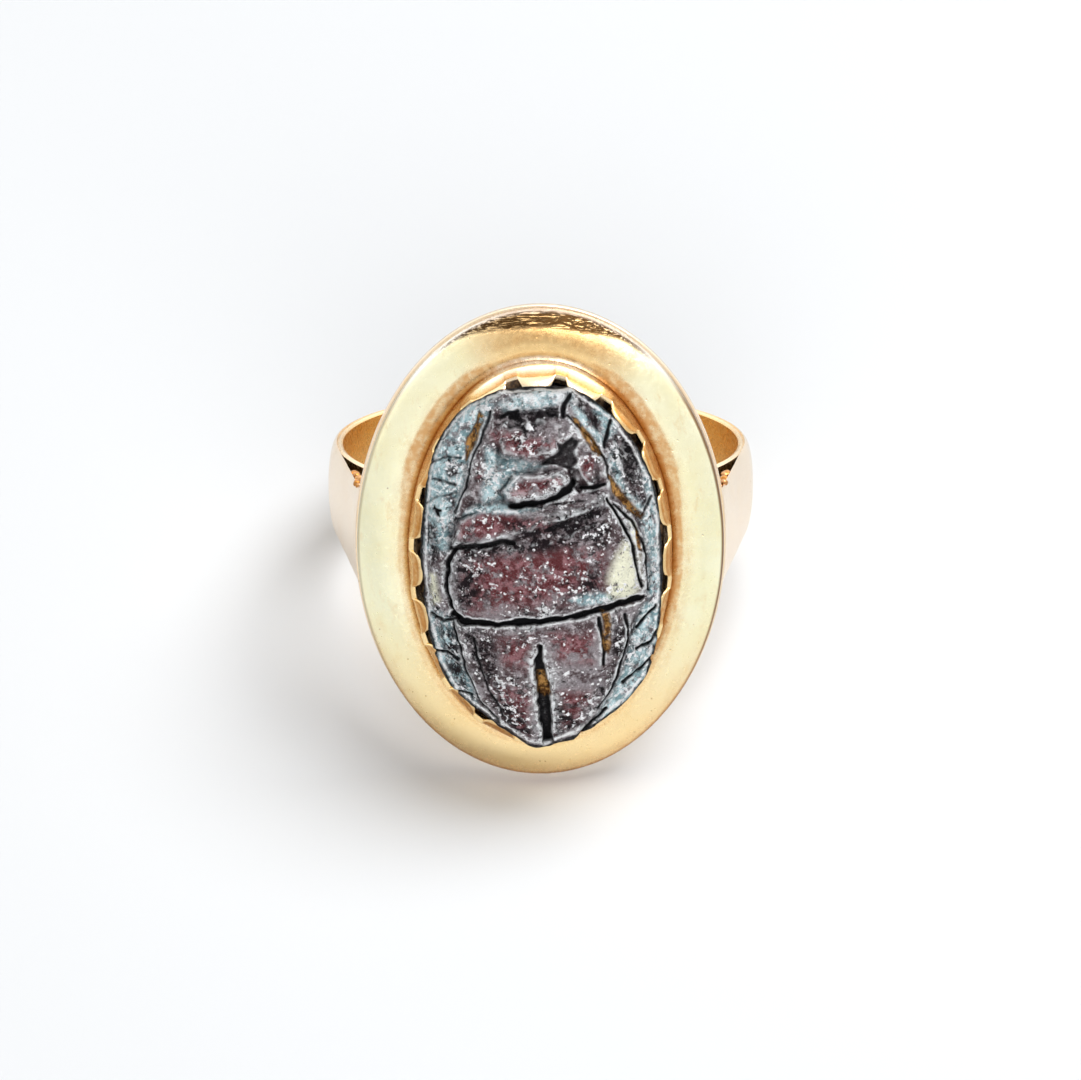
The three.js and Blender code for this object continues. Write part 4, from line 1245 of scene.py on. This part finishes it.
class RING_OT_frame(bpy.types.Operator):
    """Model the domed oval frame as a formed sheet that is open underneath"""

    bl_idname = "ring.frame"
    bl_label = "Domed frame"

    AROUND, ACROSS = 720, 80
    # The angle round the bezel of the scratched band with painted dark reflection, in radians
    DARK_REFLECTION_ANGLE = 1.55
    # The gold's deeper patches, and its roughness
    DEEP_GOLD = (0.92, 0.87, 0.57)
    ROUGHNESS = 0.2

    def execute(self, context):
        gap, wall = in_mm(context.scene.ring_setting, "channel_gap", "frame_wall")
        opening = COLLAR_HIGH[:2] + gap
        band = FRAME_HIGH[:2] - opening
        rise = FRAME_HIGH[2] - FRAME_LOW[2]
        section = self.section(band[0], rise, wall)

        def place(angle, corner):
            out, up = section[corner].T
            outward = np.column_stack([np.cos(angle), np.sin(angle)])
            plan = (opening + out[:, None] * band) * outward
            points = np.column_stack([plan, FRAME_LOW[2] + up * rise])
            worked = smoothstep(0.25, 0.6, up)
            points[:, 2] += worked * 0.03 * roughness_of(points, 2.6, 81)
            points[:, :2] += (worked * 0.025 * roughness_of(points, 1.7, 91))[:, None] * outward
            marks = {
                "patina_and_reflection": self.patina_and_reflection_marks(points, angle, out),
                "dark_reflection_band": self.dark_reflection_marks(points, angle, out, up),
                "warmth_and_reflection": self.warmth(angle, out),
                "rim": self.rim(angle, out),
                # Dirt and painted shade where the face meets the collar, fainter at the head end
                "groove_dirt_and_shade": smoothstep(0.075, 0.02, out) * (1 - 0.85 * smoothstep(0.85, 0.97, np.sin(angle))),
                "painted_highlight": self.painted_highlight(angle, out),
            }
            return points, marks

        frame_piece = new_ring("bezel_frame", self.AROUND, self.ACROSS, place)
        material = gold("face_gold", context.scene.ring_gold.pale, self.DEEP_GOLD, self.ROUGHNESS)
        settle(frame_piece, "domed_frame", material)
        return {"FINISHED"}

    def section(self, band, rise, wall):
        """The sheet's outside and inside, as evenly spaced shares of the band and of the rise."""
        narrow = 1 - 2 * wall / band
        inside = [(0.5 + (out - 0.5) * narrow, up * (1 - wall / rise)) for out, up in FACE_SHARES]
        path = np.array([*FACE_SHARES, *inside[::-1], FACE_SHARES[0]])
        return evenly_along(path, self.ACROSS, [band, rise])

    def patina_and_reflection_marks(self, points, angle, out):
        """Orange patina with painted reflection: along the inner edge, along the outer edge at the tail end,
        and over the face at the head end.
        """
        ragged = 0.07 * roughness_of(points, 0.7, 3)
        worn = smoothstep(-0.6, 0.2, np.sin(angle + 0.35)) * (1 - 0.5 * smoothstep(0.88, 1, np.sin(angle)))
        patchy = 0.6 + 0.4 * roughness_of(points, 1.6, 17)
        upper = smoothstep(0.1, 0.5, np.sin(angle)) * smoothstep(0.97, 0.85, np.sin(angle))
        wide = 0.27 + 0.13 * upper
        near = smoothstep(wide, wide - 0.09, out + 0.35 * ragged) * (0.42 + 0.42 * worn)
        faint = smoothstep(0.5, 0.25, out + 1.2 * ragged) * (0.10 + 0.35 * worn * patchy)
        inner = np.maximum(near, faint)
        tail = smoothstep(0.1, 0.9, -np.sin(angle))
        wall = smoothstep(0.62, 0.95, out + ragged) * 0.35 + smoothstep(0.9, 0.94, out + 0.3 * ragged) * 0.4
        outer = tail * wall
        head = smoothstep(0.82, 1.0, np.sin(angle + 0.1)) * 0.55 * smoothstep(0.25, 0.5, out + 1.5 * ragged)
        return np.clip(np.maximum(np.maximum(inner, outer), head), 0, 1)

    def rim(self, angle, out):
        """The painted shade along the outer wall, faint at the left and gone at the head end."""
        side = 0.5 + 0.5 * smoothstep(-0.7, 0.5, np.cos(angle - 0.5))
        return smoothstep(0.945, 0.97, out) * side * (1 - smoothstep(0.55, 0.85, np.sin(angle)))

    def painted_highlight(self, angle, out):
        """Painted highlights at the head end, on the inner roll and on the outer wall."""
        roll = smoothstep(0.14, 0.1, out) * smoothstep(0.88, 0.97, np.sin(angle))
        return np.maximum(roll, smoothstep(0.95, 0.965, out) * smoothstep(0.5, 0.8, np.sin(angle)))

    def dark_reflection_marks(self, points, angle, out, up):
        """The scratched band along the outer edge at the head end, with painted dark reflection."""
        ragged = 0.05 * roughness_of(points, 0.9, 7)
        gap = np.abs(angle - self.DARK_REFLECTION_ANGLE)
        start = 0.66 + 0.26 * smoothstep(0.1, 0.6, gap)
        head = smoothstep(0.72, 0.5, gap + ragged)
        return head * smoothstep(start, start + 0.08, out + ragged) * smoothstep(0.3, 0.4, up)

    def warmth(self, angle, out):
        """Deeper gold at the two ends: partly less worn gold, partly painted reflection of the shaded floor
        in front and the dark slot overhead.
        """
        head = smoothstep(0.8, 1.0, np.sin(angle + 0.06)) * 0.95
        tail = smoothstep(0.2, 0.9, -np.sin(angle)) * 0.75
        return np.maximum(head, tail) * smoothstep(0.0, 0.2, out)


class RING_OT_plate(bpy.types.Operator):
    """Model the flat base plate from a cylinder with softened edges"""

    bl_idname = "ring.plate"
    bl_label = "Base plate"

    AROUND = 360
    # How wide the rim round the flat middle is, and how wide its bevel, in mm
    RIM = 0.25
    BEVEL = 0.07
    # The gold's deeper patches, and its roughness
    DEEP_GOLD = (0.84, 0.66, 0.46)
    ROUGHNESS = 0.2

    def execute(self, context):
        start()
        height = PLATE_HIGH[2] - PLATE_LOW[2]
        bpy.ops.mesh.primitive_cylinder_add(
            vertices=self.AROUND, radius=1, depth=height, location=(0, 0, PLATE_LOW[2] + height / 2)
        )
        plate = context.object
        plate.name = "setting_plate"
        plate.scale = (PLATE_HIGH[0], PLATE_HIGH[1], 1)
        bpy.ops.object.transform_apply(location=True, rotation=True, scale=True)
        on_whole_mesh(bpy.ops.mesh.inset, thickness=self.RIM, use_individual=False)
        apply_modifier(
            plate, "BEVEL", "Soft edge", width=self.BEVEL, segments=4, limit_method="ANGLE",
            angle_limit=math.radians(50),
        )
        material = gold("plate_gold", context.scene.ring_gold.rose, self.DEEP_GOLD, self.ROUGHNESS)
        settle(plate, "base_plate", material)
        return {"FINISHED"}


def band_half_width(height):
    """Half the band's width at a height over the finger hole's centre, from the liner's end faces."""
    head = MOUNTS["liner_end_head_side"]
    normal = RING_TURN.transposed() @ Vector(head["axis"])
    point = TO_RING @ Vector(head["pos_m"])
    return point.y - (height - point.z) * normal.z / normal.y


BAND_HALF = band_half_width(0)


class RING_OT_liner(bpy.types.Operator):
    """Model the finger liner from a grid that is bent into a flat band with soft edges"""

    bl_idname = "ring.liner"
    bl_label = "Finger liner"

    AROUND, ACROSS = 420, 44
    # The gold's deeper patches, and its roughness
    DEEP_GOLD = (0.74, 0.44, 0.14)
    ROUGHNESS = 0.26

    def execute(self, context):
        (wall,) = in_mm(context.scene.ring_hoop, "liner_wall")
        inner = LINER_HIGH[0] - wall
        corners = [(-BAND_HALF, 0), (-BAND_HALF, wall), (BAND_HALF, wall), (BAND_HALF, 0)]
        section = rounded_section(corners, 0.1, self.ACROSS)

        def place(angle, corner):
            across, out = section[corner].T
            radius = inner + out
            height = radius * np.sin(angle)
            side = across / BAND_HALF * band_half_width(height)
            points = np.column_stack([radius * np.cos(angle), side, height])
            points[:, 1] += 0.015 * np.sign(across) * lumps(points, 2.0, 15)
            # A painted highlight along the liner's rounded edges
            rim = smoothstep(BAND_HALF - 0.1, BAND_HALF - 0.04, np.abs(across) + 0.5 * out)
            return points, {"painted_highlight": 0.4 * rim}

        liner = new_ring("hoop_liner", self.AROUND, self.ACROSS, place)
        material = gold("liner_gold", context.scene.ring_gold.inner, self.DEEP_GOLD, self.ROUGHNESS)
        settle(liner, "finger_liner", material)
        return {"FINISHED"}


class RING_OT_shank(bpy.types.Operator):
    """Model the hollow shank shell from a grid that is bent into a D-shaped channel"""

    bl_idname = "ring.shank"
    bl_label = "Shank shell"

    STATIONS, ACROSS = 300, 34
    # Crumbs of old solder in the open shoulders, as (across, along, height, radius) in mm
    CRUMBS = [
        (8.0, 1.8, 5.4, 0.22), (7.9, 2.0, 6.3, 0.2), (7.72, 2.0, 6.9, 0.22), (7.85, 2.1, 7.6, 0.16),
        (7.6, 1.6, 6.2, 0.3), (7.5, 1.6, 7.3, 0.32), (7.6, 2.1, 7.3, 0.15), (7.75, 2.05, 8.1, 0.15),
    ]
    # The gold's deeper patches, and its roughness
    DEEP_GOLD = (0.84, 0.67, 0.48)
    ROUGHNESS = 0.17

    def execute(self, context):
        wall, crown, plate_crown = in_mm(context.scene.ring_hoop, "shell_wall", "crown", "plate_crown")
        start()
        bpy.ops.mesh.primitive_grid_add(x_subdivisions=self.STATIONS, y_subdivisions=self.ACROSS, size=2)
        shell = context.object
        shell.name = "shank_channel"
        move_points(shell, self.bent(points_of(shell.data), crown, plate_crown))
        on_whole_mesh(bpy.ops.mesh.normals_make_consistent, inside=False)
        self.face_out(shell)
        apply_modifier(shell, "SOLIDIFY", "Sheet", thickness=wall, offset=-1, use_even_offset=True)
        sheet_points = len(shell.data.vertices)
        self.crumbs(shell)
        crumb = (np.arange(len(shell.data.vertices)) >= sheet_points).astype(float)
        # The crumbs get the orange patina with painted reflection, and a little dirt with painted shade
        write_attribute(shell, "patina_and_reflection", crumb)
        write_attribute(shell, "groove_dirt_and_shade", 0.35 * crumb)
        material = gold("shank_gold", context.scene.ring_gold.rose, self.DEEP_GOLD, self.ROUGHNESS)
        settle(shell, "shank_shell", material)
        return {"FINISHED"}

    def bent(self, flat, crown, plate_crown):
        """A flat grid bent round the hoop and up to the plate, and arched across into a D."""
        u, v = flat[:, :2].T
        foot = SHELL_HIGH[0] - crown
        top = SHELL_HIGH[2]
        foot_x = PLATE_HIGH[0] - plate_crown - (PLATE_LOW[2] - top)
        reach = math.hypot(foot_x, top)
        rise = math.atan2(top, foot_x) - math.acos(foot / reach)
        straight = math.sqrt(reach**2 - foot**2)
        half_arc = foot * (math.pi / 2 + rise)
        travel = np.abs(u) * (half_arc + straight)
        side = np.where(u < 0, -1, 1)
        on_arc = np.minimum(travel, half_arc) / foot - math.pi / 2
        climb = np.maximum(travel - half_arc, 0)
        x = foot * np.cos(on_arc) - climb * math.sin(rise)
        z = foot * np.sin(on_arc) + climb * math.cos(rise)
        # The arch bulges less towards the plate, and its ends are slid along the slope onto the plate
        bulge = crown + (plate_crown - crown) * climb / straight
        turn = (v + 1) / 2 * math.pi
        out = np.sin(turn) * bulge
        x = x + out * np.cos(on_arc)
        z = z + out * np.sin(on_arc)
        at_plate = smoothstep(0.9, 1.0, climb / straight)
        slide = (top - z) / math.cos(rise) * at_plate * (climb > 0.9 * straight)
        x = x - slide * math.sin(rise)
        z = z + slide * math.cos(rise)
        y = -np.cos(turn) * band_half_width(z)
        points = np.column_stack([side * x, y, z])
        outward = np.column_stack([side * np.cos(on_arc), 0 * x, np.sin(on_arc)])
        return points + 0.02 * roughness_of(points, 2.4, 61)[:, None] * outward

    def crumbs(self, shell):
        """Joins small rough lumps to the shell where it meets the plate."""
        made = []
        for index, (across, along, height, radius) in enumerate(self.CRUMBS):
            for side in (-1, 1):
                start()
                shifted = along - 0.15 * (side > 0) * (index % 3)
                bpy.ops.mesh.primitive_ico_sphere_add(
                    subdivisions=4, radius=radius, location=(side * across, shifted, height)
                )
                lump = bpy.context.object
                bpy.ops.object.transform_apply(location=True, rotation=True, scale=True)
                points = points_of(lump.data)
                middle = points.mean(axis=0)
                swell = 1 + 0.45 * roughness_of(points, 0.28, 61 + index)
                move_points(lump, middle + (points - middle) * swell[:, None])
                made.append(lump)
        start()
        for piece in [*made, shell]:
            piece.select_set(True)
        bpy.context.view_layer.objects.active = shell
        bpy.ops.object.join()

    def face_out(self, shell):
        """Turns the sheet round if its faces look towards the finger."""
        low = min(shell.data.polygons, key=lambda face: face.center.z)
        if low.normal.z > 0:
            shell.data.flip_normals()


class RING_OT_studio(bpy.types.Operator):
    """Set up the floor, the soft lamp, the world and the photograph's camera"""

    bl_idname = "ring.studio"
    bl_label = "Studio"

    FLOOR_SIZE = 1.6
    FLOOR_COLOUR = (0.785, 0.8, 0.815, 1)
    FLOOR_ROUGHNESS = 0.9
    # The softbox: its direction from the ring, its distance and width in metres, its power in watts,
    # and the height over the finger hole's centre at which it is aimed, in mm
    LAMP_DIRECTION = (0.36, 0.12, 0.92)
    LAMP_DISTANCE = 0.40
    LAMP_WIDTH = 0.32
    LAMP_POWER = 1.52
    LAMP_AIM_HEIGHT = 5
    # Brightness of the light tent as the gold mirrors it: its walls in front and behind, and how much
    # is left in the slot above the camera, where the tent is open
    FRONT_WALL, BACK_WALL, SLOT = 0.97, 1.7, 0.75
    # Where the front wall turns into the back wall, and where the slot ends sideways, begins above
    # and ends behind, as shares of a direction's X, Y or Z
    WALL_TURN_Y = (-0.15, 0.4)
    SLOT_SIDE_X = (0.18, 0.5)
    SLOT_FOOT_Z = (0.42, 0.66)
    SLOT_BACK_Y = (-0.3, -0.05)
    # Brightness of the fill on matt surfaces: all round, and more towards the front, inside this cone
    FILL, FRONT_FILL = 0.17, 4.9
    FRONT = (0.0, -0.95, 0.31)
    FRONT_CONE = (0.8, 0.96)
    # The camera's film width in mm, and the nearest and farthest that it sees in metres
    FILM_WIDTH = 36.0
    NEAREST, FARTHEST = 0.01, 10.0

    def execute(self, context):
        self.floor()
        self.world(context)
        self.lamp()
        self.camera(context)
        return {"FINISHED"}

    def floor(self):
        """A wide white sheet."""
        start()
        bpy.ops.mesh.primitive_plane_add(size=self.FLOOR_SIZE)
        floor = bpy.context.object
        floor.name = "studio_floor"
        material = bpy.data.materials.new("white_sweep")
        material.use_nodes = True
        shader = material.node_tree.nodes["Principled BSDF"]
        shader.inputs["Roughness"].default_value = self.FLOOR_ROUGHNESS
        shader.inputs["Specular IOR Level"].default_value = 0.0
        shader.inputs["Base Color"].default_value = self.FLOOR_COLOUR
        floor.data.materials.append(material)

    def world(self, context):
        """The tent's light: one brightness for mirrored rays, another for matt surfaces, white behind."""
        world = bpy.data.worlds.new("light_tent")
        context.scene.world = world
        world.use_nodes = True
        nodes = Nodes(world.node_tree)
        output = nodes.add("ShaderNodeOutputWorld")
        background = nodes.add("ShaderNodeBackground")
        coordinates = nodes.add("ShaderNodeTexCoord")
        axes = nodes.add("ShaderNodeSeparateXYZ")
        nodes.link(coordinates.outputs["Generated"], axes.inputs[0])
        x, y, z = axes.outputs
        sideways = nodes.math("ABSOLUTE", x, 0.0)
        light = nodes.spread(y, *self.WALL_TURN_Y, self.FRONT_WALL, self.BACK_WALL)
        slot = nodes.spread(sideways, *self.SLOT_SIDE_X, 1.0, 0.0)
        slot = nodes.math("MULTIPLY", slot, nodes.spread(z, *self.SLOT_FOOT_Z))
        slot = nodes.math("MULTIPLY", slot, nodes.spread(y, *self.SLOT_BACK_Y, 1.0, 0.0))
        light = nodes.math("MULTIPLY", light, nodes.spread(slot, 0.0, 1.0, 1.0, self.SLOT))
        path = nodes.add("ShaderNodeLightPath")
        mirrored = path.outputs["Is Glossy Ray"]
        light = nodes.math("MULTIPLY", light, mirrored)
        toward = [nodes.math("MULTIPLY", axis, share) for axis, share in zip((x, y, z), self.FRONT)]
        toward = nodes.math("ADD", nodes.math("ADD", toward[0], toward[1]), toward[2])
        fill = nodes.spread(toward, *self.FRONT_CONE, self.FILL, self.FRONT_FILL)
        matt = nodes.math("SUBTRACT", 1.0, mirrored)
        light = nodes.math("ADD", light, nodes.math("MULTIPLY", fill, matt))
        light = nodes.math("MAXIMUM", light, path.outputs["Is Camera Ray"])
        nodes.link(light, background.inputs["Strength"])
        nodes.link(background.outputs[0], output.inputs["Surface"])
        background.inputs["Color"].default_value = (1, 1, 1, 1)

    def lamp(self):
        """One round softbox overhead."""
        centre = FROM_RING @ Vector((0, 0, self.LAMP_AIM_HEIGHT))
        toward = Vector(self.LAMP_DIRECTION).normalized()
        start()
        bpy.ops.object.light_add(type="AREA", location=centre + toward * self.LAMP_DISTANCE)
        lamp = bpy.context.object
        lamp.name = "Overhead softbox"
        lamp.data.shape = "DISK"
        lamp.data.size = self.LAMP_WIDTH
        lamp.data.energy = self.LAMP_POWER
        lamp.rotation_euler = toward.to_track_quat("Z", "Y").to_euler()

    def camera(self, context):
        """The photograph's camera."""
        start()
        bpy.ops.object.camera_add()
        camera = context.object
        camera.name = "photo_camera"
        aim = FROM_RING @ CAMERA_AIM
        sight = (RING_TURN @ CAMERA_SIGHT).normalized()
        up = (RING_TURN @ CAMERA_UP).normalized()
        right = up.cross(sight)
        turn = Matrix((right, up, sight)).transposed().to_4x4()
        camera.matrix_world = Matrix.Translation(aim + sight * CAMERA_DISTANCE * MM) @ turn
        camera.data.sensor_width = self.FILM_WIDTH
        camera.data.lens = PHOTO_PIXELS_PER_MM * CAMERA_DISTANCE / PHOTO_WIDTH * self.FILM_WIDTH
        camera.data.clip_start = self.NEAREST
        camera.data.clip_end = self.FARTHEST
        context.scene.camera = camera


class RING_PT_panel(bpy.types.Panel):
    """Lists the ring's pieces in the sidebar"""

    bl_idname = "RING_PT_panel"
    bl_label = "Scarab Ring"
    bl_space_type = "VIEW_3D"
    bl_region_type = "UI"
    bl_category = "Scarab Ring"

    def draw(self, context):
        """One box for each group of settings, and a button for each piece and for the studio."""
        for group in SETTINGS:
            settings = getattr(context.scene, group)
            box = self.layout.box()
            for name in settings.__annotations__:
                box.prop(settings, name)
        for operator in OPERATORS:
            self.layout.operator(operator.bl_idname)


OPERATORS = (
    RING_OT_scarab,
    RING_OT_cement,
    RING_OT_collar,
    RING_OT_frame,
    RING_OT_plate,
    RING_OT_liner,
    RING_OT_shank,
    RING_OT_studio,
)
SETTINGS = {
    "ring_scarab": ScarabSettings,
    "ring_setting": SettingSettings,
    "ring_hoop": HoopSettings,
    "ring_gold": GoldSettings,
}


def register():
    """Adds the settings, the operators and the panel."""
    for group in SETTINGS.values():
        bpy.utils.register_class(group)
    for name, group in SETTINGS.items():
        setattr(bpy.types.Scene, name, bpy.props.PointerProperty(type=group))
    for kind in (*OPERATORS, RING_PT_panel):
        bpy.utils.register_class(kind)


def unregister():
    """Takes them away again."""
    for kind in (RING_PT_panel, *reversed(OPERATORS)):
        bpy.utils.unregister_class(kind)
    for name, group in SETTINGS.items():
        delattr(bpy.types.Scene, name)
        bpy.utils.unregister_class(group)


def main():
    """Makes the ring and the studio."""
    register()
    bpy.context.scene.view_settings.view_transform = "Standard"
    bpy.ops.ring.scarab()
    bpy.ops.ring.cement()
    bpy.ops.ring.collar()
    bpy.ops.ring.frame()
    bpy.ops.ring.plate()
    bpy.ops.ring.liner()
    bpy.ops.ring.shank()
    bpy.ops.ring.studio()


if __name__ == "__main__":
    main()
